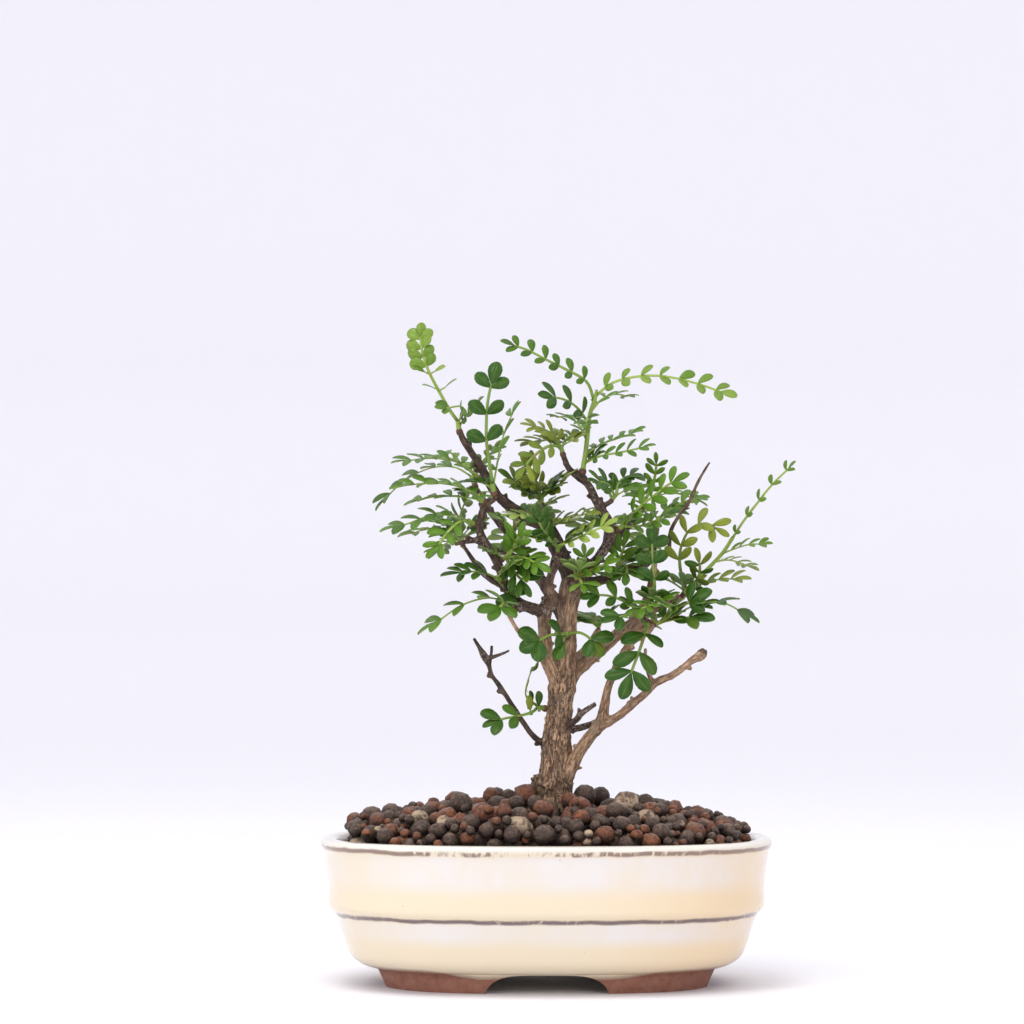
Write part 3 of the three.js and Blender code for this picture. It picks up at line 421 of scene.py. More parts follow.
# A granule's tone says what it is: dark below the first number, rust-red up to the second, then cream.
rust_from, cream_from = 0.62, 0.94
full_turn = 6.28


def mound_height(x, y):
    """How high the mound is, with its shoulder at the left, flatter there and higher at the rim."""
    across = abs(x - mound_middle) / (soil_half_width + math.copysign(mound_shift, x - mound_middle))
    deep = min(abs(y) / half_depth(soil_half_width), 1)
    shoulder = np.interp(across, *zip(*left_shoulder)) if x < mound_middle else 0
    return mound_edge + mound_rise * (1 - min(math.hypot(across, deep), 1) ** 2) + shoulder * (1 - deep ** 2)


def inside_oval(x, y, half_width):
    across = abs(x - pot_axis.x) / half_width
    return across ** oval_power + (abs(y) / half_depth(half_width)) ** oval_power < 1


for share in (0.9, 0.75, 0.6, 0.45, 0.3, 0.16):
    wide = soil_half_width * share
    soil_rows.append((wide, mound_height(pot_axis.x + wide, 0) - top_depth))
soil = oval_body(soil_rows)

granule_models = []
for number, roughness in enumerate(pellet_roughness + broken_roughness):
    bpy.ops.object.select_all(action="DESELECT")
    bpy.ops.mesh.primitive_ico_sphere_add(subdivisions=2, radius=1)
    model = bpy.context.object
    bpy.ops.object.mode_set(mode="EDIT")
    bpy.ops.transform.vertex_random(offset=roughness, seed=number + 3)
    bpy.ops.mesh.vertices_smooth(factor=0.3)
    bpy.ops.object.mode_set(mode="OBJECT")
    bpy.ops.object.shade_smooth()
    granule_models.append(model)
pellets = granule_models[:len(pellet_roughness)]
broken = granule_models[len(pellet_roughness):]


def keep(mesh, name, values):
    """Keeps a value under this name for each point of the mesh, for its material to read."""
    attribute = mesh.attributes.new(name, "FLOAT", "POINT")
    attribute.data.foreach_set("value", values)


def copy_of(model, place, tone):
    """A copy of the model with a mesh of its own, put in place, and its tone kept on its points."""
    mesh = model.data.copy()
    mesh.transform(place)
    keep(mesh, "tone", [tone] * len(mesh.vertices))
    copy = bpy.data.objects.new(model.name, mesh)
    bpy.context.scene.collection.objects.link(copy)
    return copy


def resting_height(x, y, radius, lying):
    """How high a granule's middle comes to rest on the mound and on the granules that lie there."""
    height = mound_height(x, y) - bed_depth + radius
    for other_x, other_y, other_z, other_radius in lying:
        reach = (radius + other_radius) * touching
        apart = math.hypot(x - other_x, y - other_y)
        if apart < reach:
            height = max(height, other_z + math.sqrt(reach * reach - apart * apart))
    return height


lying = []
for drop in range(large_drops + small_drops):
    radius = random.choice(large_radii) * random.uniform(0.92, 1.08)
    if drop > large_drops:
        radius = random.uniform(*small_radii)
    spots = []
    while len(spots) < spots_tried:
        x = pot_axis.x + random.uniform(-drop_reach[0], drop_reach[0])
        y = random.uniform(-drop_reach[1], drop_reach[1])
        from_trunk = (Vector((x, y, 0)) - trunk_foot).length
        if inside_oval(x, y, wall_half_width - radius) and from_trunk > trunk_clearance + radius:
            spots.append((resting_height(x, y, radius, lying), x, y))
    height, x, y = min(spots)
    if height + radius < mound_height(x, y) + heap_limit:
        lying.append((x, y, height, radius))

granules = []
for x, y, height, radius in lying:
    tone = random.random()
    model = random.choice(broken if tone > rust_from or random.random() < broken_share else pellets)
    size = Matrix.Diagonal([radius * random.uniform(0.9, 1.1) for _ in range(3)] + [1])
    turn = Matrix.Rotation(random.uniform(0, full_turn), 4, Vector([random.uniform(-1, 1) for _ in range(3)]))
    granules.append(copy_of(model, Matrix.Translation((x, y, height)) @ turn @ size, tone))
for model in granule_models:
    bpy.data.objects.remove(model)
join("soil_granules", [soil] + granules)
soil.data.validate()

burnt_brown = (0.022, 0.011, 0.006, 1)
dusty_brown = (0.2, 0.112, 0.07, 1)
soft_brown = (0.05, 0.027, 0.017, 1)
blotch_brown = (0.16, 0.09, 0.055, 1)
deep_rust = (0.045, 0.012, 0.006, 1)
bright_rust = (0.33, 0.1, 0.028, 1)
dull_rust = (0.07, 0.026, 0.016, 1)
pumice_shade = (0.1, 0.055, 0.034, 1)
pumice_cream = (0.5, 0.37, 0.24, 1)
dust_and_top_light_tan = (0.29, 0.2, 0.145, 1)
gap_shadow = (0.014, 0.007, 0.004, 1)

earth = Finish("baked_clay_granules")
tone = earth.kept("tone")
grit = earth.noise(900, detail=5, roughness=0.65)
blotch = earth.noise(260, detail=3)
own = (tone * 61).math("FRACT")
dark = earth.mix(grit.step(0.35, 0.8), burnt_brown, dusty_brown)
dark = earth.mix(own * 0.5, dark, soft_brown)
dark = earth.mix(blotch.step(0.55, 0.7) * own.step(0.5, 0.9) * 0.6, dark, blotch_brown)
rust = earth.mix(grit.step(0.3, 0.7), deep_rust, bright_rust)
rust = earth.mix(own * 0.45, rust, dull_rust)
pumice = earth.mix((blotch + grit * 0.5).step(0.62, 0.85), pumice_shade, pumice_cream)
kind = earth.mix(tone.step(rust_from, rust_from + 0.005), dark, rust)
kind = earth.mix(tone.step(cream_from, cream_from + 0.005), kind, pumice)
upward = earth.along("Z", earth.node("NewGeometry", output="Normal"))
# Upward faces are lighter in patches: partly dust, partly painted light from above.
kind = earth.mix(upward.step(0.45, 1) * (grit + blotch).step(0.8, 1.2) * 0.5, kind, dust_and_top_light_tan)
kind = earth.mix(upward.step(0.35, -0.6) * 0.85, kind, gap_shadow)
earth.set(kind, 0.55)
earth.bump(grit + blotch * 0.6, 0.0008)
earth.cover(soil)
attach(soil, "root")
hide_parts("soil")


# The wood: the trunk, its limbs and their twigs, grown as one. Tan bark, furrowed lengthwise on the trunk
# and crusted at its foot, knobbed where shoots have been cut, and near black on the upper limbs and the
# dead twigs. Each row is a point and the radius there, and the limbs are numbered after the trunk, from 1.
photo_middle = 4.2
row_decimals = 5


def in_metres(row):
    """A row in millimetres from the part's middle: a point, and its radius where it has one."""
    return tuple(round(value / 1000, row_decimals) for value in row)


def from_photo(row):
    """The same for a row of part.mjs, whose x counts from the photograph's middle."""
    return in_metres((row[0] - photo_middle, *row[1:]))


# Points and radii in millimetres, given for part.mjs and repeated here. The trunk's foot is finer.
trunk_points = [
    (2.3, 0, 44, 6.2), (2.2, 0, 57.5, 6.2), (2.3, 0, 63.7, 6.2), (2.8, 0, 68, 5.7), (3.2, 0, 73.7, 5.3),
    (3.5, 0, 80.3, 5.2), (4.2, 0, 87, 4.6), (4.8, 0, 93.7, 4.6), (5.7, 0, 100.3, 5), (6.4, 0, 105, 4),
    (6.7, 0, 113.7, 3.7), (7.2, 0, 120.3, 3.3), (7.6, 0, 127, 4), (9.6, 0, 133.3, 4.4),
    (11, 0, 137.5, 2.2),
]
limb_points = [
    # The leader with its cut top (1), and its arm to the upper left (2).
    [(9, 0, 133, 3.2), (6.3, 0, 138.7, 3), (3, 1, 146, 2.8), (0, 2, 152, 3), (-1.5, 2, 158.5, 2.2)],
    [(0, 2, 152.5, 2.4), (-5.3, 2, 154, 2.2), (-10, 1, 157, 1.8), (-13.7, 0, 159.5, 1.8),
     (-16.3, 0, 162, 1.7), (-22, -1, 172, 1.4), (-27, -2, 179.3, 1.2), (-28.7, -2, 183, 1)],
    # The left limb.
    [(3.5, -1.5, 100, 2.6), (0.5, -3, 107, 2.4), (-0.3, -4, 113.7, 2.2), (-0.3, -5, 123.7, 2.4),
     (1.8, -5, 127.2, 2.9), (0.7, -6, 130.5, 1.7), (1.7, -7, 135.3, 1.4), (3.3, -7, 140.3, 1.8),
     (3.6, -7, 142, 1.2)],
    # The dark limb above it (4), its two twigs, and the stub at its foot.
    [(-1, -5, 123, 2), (-5.3, -6, 124.3, 1.9), (-10.3, -7, 127, 1.8), (-13, -8, 131, 1.6),
     (-14.3, -8, 134.3, 1.5), (-16.3, -8, 139.7, 1.6), (-18.7, -9, 143.7, 1.5), (-21, -9, 147, 1.5),
     (-22, -9, 150.3, 1.4), (-21.3, -9, 155.3, 1.3), (-19.7, -8, 158.7, 1.3), (-17.3, -8, 160.7, 1.4)],
    [(-21, -9, 147, 1.1), (-26, -10, 146.3, 0.9), (-30.3, -11, 145.3, 0.7)],
    [(-13.5, -8, 131, 1.2), (-20.3, -4, 135.3, 1.1), (-24.3, -2, 140.3, 0.9), (-27.7, 0, 145.3, 0.7)],
    [(-2, -5, 123.5, 1.8), (-7, -9, 125, 1.7), (-11, -12, 124, 1.5)],
    # The thin twig on the left (8).
    [(1, -3, 105, 1.2), (-3, -5, 108.7, 1), (-6.3, -7, 113.3, 0.9), (-10, -8, 117.7, 0.8),
     (-14.3, -10, 126, 0.7)],
    # The dead twig below it (9) and its two side twigs.
    [(1, 0, 78.5, 1.4), (-1.7, -1, 79.7, 1.2), (-5.3, -3, 83, 1), (-8, -4, 87, 1), (-12.7, -6, 94.3, 0.9),
     (-16, -7, 99.3, 0.9), (-18, -8, 102, 0.8), (-19, -8, 105.3, 0.9), (-20.3, -9, 108, 1.2),
     (-22, -9, 111, 0.8), (-24, -10, 114.3, 0.6)],
    [(-19.5, -9, 107.5, 0.8), (-15, -10, 109, 0.6), (-12, -11, 110.3, 0.5)],
    [(-18.9, -8, 105, 0.7), (-18.3, -8, 108.5, 0.6), (-18, -8, 112, 0.5)],
    # The limb to the upper right (12) and its side stub.
    [(10, 0, 132, 2.2), (14, -1, 137, 1.9), (18, -2, 142, 1.7), (22, -3, 150.3, 1.7),
     (20.3, -3, 153.7, 1.7), (17, -3, 159.3, 1.5), (14, -3, 165.3, 1.3), (11.3, -3, 168, 1.7),
     (8, -3, 170.3, 1.1), (5.7, -4, 174.7, 1)],
    [(18, -3, 157.7, 1), (21.3, -3, 159.5, 0.9)],
    # The dark limb to the right (14) and its stub.
    [(11, 0, 132, 2.2), (18, 4, 133.5, 1.8), (24.7, 7, 136.3, 1.7), (34.7, 11, 140.3, 1.5),
     (36.5, 11, 146, 1.3), (37.3, 11, 151.7, 1.2)],
    [(32.5, 10.4, 140, 1), (32.3, 11, 145.5, 0.9)],
    # The upright dead twig at its end (16).
    [(35, 11, 140.5, 1.2), (40.3, 9, 141.7, 0.9), (42, 7, 150.3, 0.8), (44.7, 6, 155.3, 0.7),
     (48.3, 5, 160.3, 0.7), (50.7, 4, 166, 0.6), (53.7, 4, 171.3, 0.5), (55, 4, 173.3, 0.4)],
    # The right limb and its arm to the far right.
    [(8, 0, 101, 2.8), (10.3, 1, 103.5, 2.5), (18, 3, 110.3, 2.3), (24.7, 4, 116, 2.2), (29, 4, 119, 2.2),
     (33, 4, 125.3, 1.7), (34.7, 4, 130.3, 1.5), (36.5, 5, 139.5, 1)],
    [(31, 4, 122, 1.5), (38, 3.5, 124.5, 1.3), (45, 2, 128.2, 1.3)],
    # The low right limb with its knotted end (19).
    [(5, -1, 66, 2.8), (7, -2, 68.5, 2.5), (9.7, -3, 74.3, 2.3), (14, -4, 81, 2.1), (18, -5, 86.3, 2.2),
     (19.3, -6, 92, 1.7), (20.3, -7, 97, 1.5), (22, -7, 102, 1.5), (25.3, -7, 108.7, 1.4),
     (28.7, -6, 113.7, 1.6), (31.5, -5, 116.5, 2.6), (33.7, -4, 118.8, 2.5), (34.2, -3.6, 120.6, 1.2)],
    # Its fork to the knob (20), and the spur on that.
    [(17, -5, 85, 1.9), (22, -6, 87.3, 1.6), (25.3, -7, 89.7, 1.5), (28.7, -8, 92.7, 1.5),
     (33, -9, 96.3, 1.4), (36.3, -10, 99.7, 1.4), (41.3, -11, 102, 1.3), (44.7, -12, 104.3, 1.2),
     (48, -12, 107, 1.3), (51.3, -12, 109, 1.9), (52.2, -12, 110.8, 1.1)],
    [(35.3, -10, 98.7, 1), (34, -10, 102, 0.9), (33, -9.5, 105.3, 0.8), (32.7, -9.5, 111, 0.6)],
    # The stubs on the trunk's right side (22 to 24).
    [(6, 2, 83.5, 1.5), (12, 5, 84.5, 1.2), (16.7, 7, 86, 1)],
    [(6, -1.5, 85.5, 1.4), (9, -5, 86.5, 1.2), (12, -8, 89.7, 1.1), (16.3, -10, 92.7, 0.8)],
    [(10.9, -6.5, 88.2, 0.8), (10.7, -7.5, 91.3, 0.6)],
    # The limbs and twigs that grow backwards.
    [(6, 1, 121, 2.5), (1, 9, 130, 2.1), (-5, 17, 139, 1.8), (-12, 25, 149, 1.5), (-19, 31, 158, 1.3),
     (-24, 34, 166, 1)],
    [(-6, 18, 140, 1.4), (-16, 17, 144, 1.1), (-26, 15, 148, 0.9)],
    [(9, 1, 130, 2.3), (14, 10, 136, 1.9), (20, 17, 144, 1.6), (28, 21, 152, 1.3), (33, 22, 158, 1)],
    [(18, 15, 141, 1.3), (20, 25, 145, 1), (21, 33, 150, 0.9)],
    [(6, 1, 101, 2), (9, 10, 106, 1.7), (14, 18, 111, 1.4), (18, 26, 117, 1)],
]
trunk_rows = [from_photo(row) for row in trunk_points]
limb_rows = [[from_photo(row) for row in rows] for rows in limb_points]

all_limbs = [trunk_rows] + limb_rows
dark_limbs = (1, 2, 4, 5, 6, 7, 9, 10, 11, 12, 13, 14, 15, 22, 23, 24, 25, 26, 27, 28)
stubbed_pale_limbs = (3, 17, 18, 19, 20)
trunk, left_limb, dead_twig, upright_twig, knobbed_fork = 0, 3, 9, 16, 20
# Each limb's grain starts this much further along it, so that no two limbs show the same furrows.
grain_offset = 0.03
dark_stub_gap = 0.0042
dead_stub_gap = 0.016
pale_stub_gap = 0.009
stub_lengths = (0.0004, 0.0015)
stub_radii = (0.0009, 0.0006)
twig_radius = 0.0014
round_radius = 0.0015
root_count = 9
# How far out and down from the trunk's foot each root passes, and its radius there.
root_rows = [(0.003, 0.003, 0.004), (0.0072, 0.0048, 0.0026), (0.012, 0.0085, 0.0014)]
crust_count = 60
crust_axis = Vector((-0.0019, 0, 0))
crust_reach = 0.0054
crust_heights = (0.062, 0.0675)
bark_fineness = 0.00042
# The grain's unit is 1 mm across and 2.9 mm upwards, so its lumps and furrows are longer than they are wide.
grain_scale = (0.001, 0.001, 0.0029)
lump_size = 2.4
lump_rise = 0.0017
furrow_size = 1.05
furrow_depth = 0.0012
full_relief = 0.00045
knob_radius = 0.0016


def branch(rows, corners):
    """A limb through its rows of points and radii, closed at both ends."""
    path = bpy.data.curves.new("limb", "CURVE")
    path.dimensions = "3D"
    path.bevel_depth = 1
    path.bevel_resolution = corners // 4 - 1
    path.use_fill_caps = True
    path.resolution_u = 5
    spline = path.splines.new("BEZIER")
    spline.radius_interpolation = "CARDINAL"
    spline.bezier_points.add(len(rows) - 1)
    for point, (x, y, z, radius) in zip(spline.bezier_points, rows):
        point.co = (x, y, z)
        point.radius = radius
        point.handle_left_type = "AUTO"
        point.handle_right_type = "AUTO"
    limb = bpy.data.objects.new("limb", path)
    bpy.context.scene.collection.objects.link(limb)
    bpy.ops.object.select_all(action="DESELECT")
    bpy.context.view_layer.objects.active = limb
    limb.select_set(True)
    bpy.ops.object.convert(target="MESH")
    return bpy.context.object


def on_limbs(points, all_rows):
    """For each point, the number of the limb that it lies on, that limb's radius there, and the point's
    place in the limb's grain: how far out from the limb's middle, and last how far along it."""
    best = np.full(len(points), 1e9)
    number = np.zeros(len(points), int)
    thick = np.zeros(len(points))
    grain = np.zeros((len(points), 3))
    for i, rows in enumerate(all_rows):
        rows = np.array(rows)
        passed = grain_offset * i
        for start, end in zip(rows, rows[1:]):
            along = end[:3] - start[:3]
            share = np.clip((points - start[:3]) @ along / (along @ along), 0, 1)
            radius = start[3] + (end[3] - start[3]) * share
            out = points - start[:3] - share[:, None] * along
            gap = np.linalg.norm(out, axis=1) - radius
            closer = gap < best
            best[closer] = gap[closer]
            number[closer] = i
            thick[closer] = radius[closer]
            upright = np.array(Vector(along).rotation_difference(Vector((0, 0, 1))).to_matrix())
            placed = out @ upright.T
            placed[:, 2] += passed + share * np.linalg.norm(along)
            grain[closer] = placed[closer]
            passed += np.linalg.norm(along)
    return number, thick, grain


def spurs(rows, gap):
    """Short stubs where shoots have fallen or been cut, at about this gap along the limb."""
    stubs = []
    for start, end in zip(rows, rows[1:]):
        start = Vector(start)
        end = Vector(end)
        way = (end - start).to_3d()
        for _ in range(round(way.length / gap + random.uniform(-0.4, 0.6))):
            x, y, z, radius = start.lerp(end, random.random())
            out = way.orthogonal().normalized()
            out.rotate(Matrix.Rotation(random.uniform(0, full_turn), 3, way))
            foot = Vector((x, y, z))
            tip = foot + (out + way.normalized() * 0.4) * (radius + random.uniform(*stub_lengths))
            thick, thin = stub_radii
            stubs.append([(*foot, radius * 0.8), (*foot.lerp(tip, 0.6), thick), (*tip, thin)])
    return stubs


stubs = []
for i in dark_limbs:
    if all_limbs[i][0][3] > twig_radius:
        stubs += spurs(all_limbs[i], dark_stub_gap)
stubs += spurs(all_limbs[dead_twig], dead_stub_gap)
for i in stubbed_pale_limbs:
    stubs += spurs(all_limbs[i], pale_stub_gap)
for root in range(root_count):
    turn = root * 0.7 + 0.3
    way = Vector((math.cos(turn), math.sin(turn), 0))
    foot = Vector(trunk_rows[2][:3])
    stubs.append([(*(foot + way * out - Vector((0, 0, down))), radius) for out, down, radius in root_rows])
for _ in range(crust_count):
    turn = random.uniform(0, full_turn)
    way = Vector((math.cos(turn), math.sin(turn), random.uniform(-0.3, 0.2)))
    foot = crust_axis + way * crust_reach + Vector((0, 0, random.uniform(*crust_heights)))
    thick = random.uniform(0.0008, 0.0015)
    stubs.append([(*foot, thick), (*(foot + way * random.uniform(0.0012, 0.0024)), thick * 0.8)])
wood = join("bark", [branch(rows, 16 if rows[0][3] > round_radius else 12) for rows in all_limbs + stubs])
finish_shape(
    wood,
    ("REMESH", {"mode": "VOXEL", "voxel_size": bark_fineness}),
    ("SMOOTH", {"factor": 0.5, "iterations": 2}),
)
points = np.array([vertex.co for vertex in wood.data.vertices])
outward = np.array([vertex.normal for vertex in wood.data.vertices])
number, thick, grain_place = on_limbs(points, all_limbs)
pale = ~np.isin(number, dark_limbs)
height = points[:, 2]
low = np.clip((0.135 - height) / 0.04, 0, 1) * pale
split_depth = np.where(number == trunk, np.clip(low, 0.25, 1), low * 0.3)
for name, weights in (("lumpy", np.clip(thick / 0.0045, 0.14, 1)), ("split", split_depth)):
    group = wood.vertex_groups.new(name=name)
    for i, weight in enumerate(weights):
        group.add([i], float(weight), "REPLACE")
grain = bpy.data.objects.new("grain", None)
bpy.context.scene.collection.objects.link(grain)
grain.scale = grain_scale
bpy.context.view_layer.update()
splits = bpy.data.textures.new("splits", "VORONOI")
splits.noise_scale = furrow_size
splits.weight_1 = -1
splits.weight_2 = 1
lumps = bpy.data.textures.new("lumps", "CLOUDS")
lumps.noise_scale = lump_size
lumps.noise_depth = 3
for texture, strength, middle, group in (
    (lumps, lump_rise, 0.5, "lumpy"),
    (splits, furrow_depth, 0.3, "split"),
):
    settings = {"texture": texture, "texture_coords": "OBJECT", "texture_coords_object": grain}
    settings.update({"strength": strength, "mid_level": middle, "vertex_group": group})
    finish_shape(wood, ("DISPLACE", settings))
bpy.data.objects.remove(grain)
for texture in (splits, lumps):
    bpy.data.textures.remove(texture)
wood.vertex_groups.clear()
raised = np.array([vertex.co for vertex in wood.data.vertices]) - points
raised = (raised * outward).sum(axis=1) / full_relief
# The trunk and the left limb darken upwards, and the knob's cut end is dark too.
dark = np.where(number == trunk, np.clip((height - 0.11) / 0.038, 0, 0.85), np.where(pale, 0.38, 1))
dark = np.where(number == left_limb, np.clip((height - 0.106) / 0.03, 0.25, 0.65), dark)
dark = np.where(number == upright_twig, 0.7, dark)
from_knob = np.linalg.norm(points - np.array(all_limbs[knobbed_fork][-1][:3]), axis=1)
dark = np.maximum(dark, np.clip(2 - from_knob / knob_radius, 0, 0.6))
keep(wood.data, "dark", dark.astype(float))
keep(wood.data, "raised", raised.astype(float))
keep(wood.data, "cracked", split_depth.astype(float))
attribute = wood.data.attributes.new("grain", "FLOAT_VECTOR", "POINT")
attribute.data.foreach_set("vector", grain_place.ravel())
bpy.ops.object.shade_smooth()

furrow_tan = (0.3, 0.155, 0.08, 1)
ridge_tan = (0.7, 0.46, 0.28, 1)
hollow_shade_brown = (0.05, 0.028, 0.018, 1)
ridge_highlight_tan = (0.74, 0.52, 0.32, 1)
patch_olive = (0.28, 0.2, 0.11, 1)
black_brown = (0.034, 0.02, 0.014, 1)
grey_brown = (0.2, 0.125, 0.088, 1)
crack_brown = (0.04, 0.024, 0.017, 1)
fleck_grey = (0.5, 0.43, 0.34, 1)
foot_brown = (0.1, 0.058, 0.03, 1)
moss_green = (0.09, 0.15, 0.015, 1)

bark = Finish("bark")
dark = bark.kept("dark")
raised = bark.kept("raised")
cracked = bark.kept("cracked")
grain = bark.kept("grain", "Vector")
fibres = bark.noise(1500, detail=5, stretch=(1, 1, 0.2), roughness=0.65, point=grain)
patches = bark.noise(130, detail=4)
flecks = bark.noise(1300, detail=3)
wide_furrows = (bark.noise(640, detail=2, stretch=(1, 1, 0.24), point=grain) - 0.5).math("ABSOLUTE")
fine_furrows = (bark.noise(1150, detail=2, stretch=(1, 1, 0.3), point=grain) - 0.5).math("ABSOLUTE")
cracks = wide_furrows.step(0.035, 0.006).math("MAXIMUM", fine_furrows.step(0.04, 0.008) * 0.8)
cracks = cracks * (cracked * 0.75 + 0.25) * bark.noise(700, detail=1).step(0.25, 0.45)
tan = bark.mix(fibres.step(0.36, 0.62), furrow_tan, ridge_tan)
# Where the relief dips, the bark is painted darker: painted shade in the hollows.
tan = bark.mix(raised.step(-0.1, -0.9) * 0.5, tan, hollow_shade_brown)
# Where the relief rises, the bark is painted lighter: a painted highlight on the ridges.
tan = bark.mix(raised.step(0.2, 1) * 0.5, tan, ridge_highlight_tan)
tan = bark.mix(patches.step(0.5, 0.7) * 0.3, tan, patch_olive)
brown = bark.mix(fibres.step(0.38, 0.72), black_brown, grey_brown)
skin = bark.mix((dark + patches * 0.5 - 0.25).step(0.2, 0.8), tan, brown)
skin = bark.mix(cracks * 0.75, skin, crack_brown)
skin = bark.mix((flecks * patches).step(0.31, 0.4) * 0.5, skin, fleck_grey)
foot = bark.along("Z").step(0.0695, 0.0665)
skin = bark.mix(foot * fibres.step(0.7, 0.35) * 0.7, skin, foot_brown)
skin = bark.mix(foot * (flecks * patches).step(0.33, 0.37) * 0.7, skin, moss_green)
bark.set(skin, 0.82)
bark.bump(fibres + flecks * 0.4 - cracks * 0.8, 0.0008)
bark.cover(wood)
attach(wood, "root")
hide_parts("wood")


# The leafy shoots: each a green stem with compound leaves, and each leaf a winged rachis with pairs of oval
# leaflets and one at its tip. Mature leaflets are dark and glossy, young ones thin and yellow-green.
usual_bare = 0.22
usual_broad = 0.75
rachis_width = 0.00095
rachis_depth = 0.0008
tuft_leaflet = 0.0066
tuft_reach = (0.009, 0.015)
# How deep a stem is seated in the twig, and how deep its bud's middle lies.
stem_seat = 0.0016
bud_seat = 0.0005


more_pairs = 2
leaflet_growth = 1.1
first_share = 0.95
share_step = 0.3


def shoot(slot, age, tufts, stem, *leaves, scale=1):
    """A shoot: its slot, which is not used, its age from 0 for new to 1 for mature and a little more for
    olive leaves, how many tufts spring from its foot, its stem's points and radii, its leaves, and the scale
    of its leaflets. A leaf of the solids gets more pairs and longer leaflets here, and without a share or a
    start of its own a leaf starts below the one before it."""
    for place, row in enumerate(leaves):
        if "solid_pairs" in row:
            row["pairs"] = row.pop("solid_pairs") + more_pairs
        if "solid_leaflet" in row:
            row["leaflet"] = round(row.pop("solid_leaflet") * leaflet_growth * scale, 1)
        row["leaflet"] = round(row["leaflet"] / 1000, row_decimals)
        row.setdefault("at", 1 if "start" in row else round(first_share - place * share_step, 2))
    stem = [from_photo(row) for row in stem]
    return {"slot": slot, "age": age, "tufts": tufts, "stem": stem, "leaves": leaves}


def solid_leaf(facing, *path, **own):
    """A leaf whose path repeats part.mjs: where its upper side faces, its path and its own values."""
    return {"facing": facing, "path": [from_photo(point) for point in path], **own}


def new_leaf(facing, *path, **own):
    """A leaf whose path is set here, in millimetres from the part's middle."""
    if "start" in own:
        own["start"] = in_metres(own["start"])
    return {"facing": facing, "path": [in_metres(point) for point in path], **own}


def leaf_row(at, pairs, leaflet, facing, *path, **own):
    """A leaf: at which share of its stem it starts, its pairs of leaflets, the leaflets' length, where its
    upper side faces and its path. Its own values are the bare share of its length, how broad its leaflets
    are, its age, and a start off the stem."""
    return {"at": at, "pairs": pairs, "leaflet": leaflet, "facing": facing, "path": path, **own}


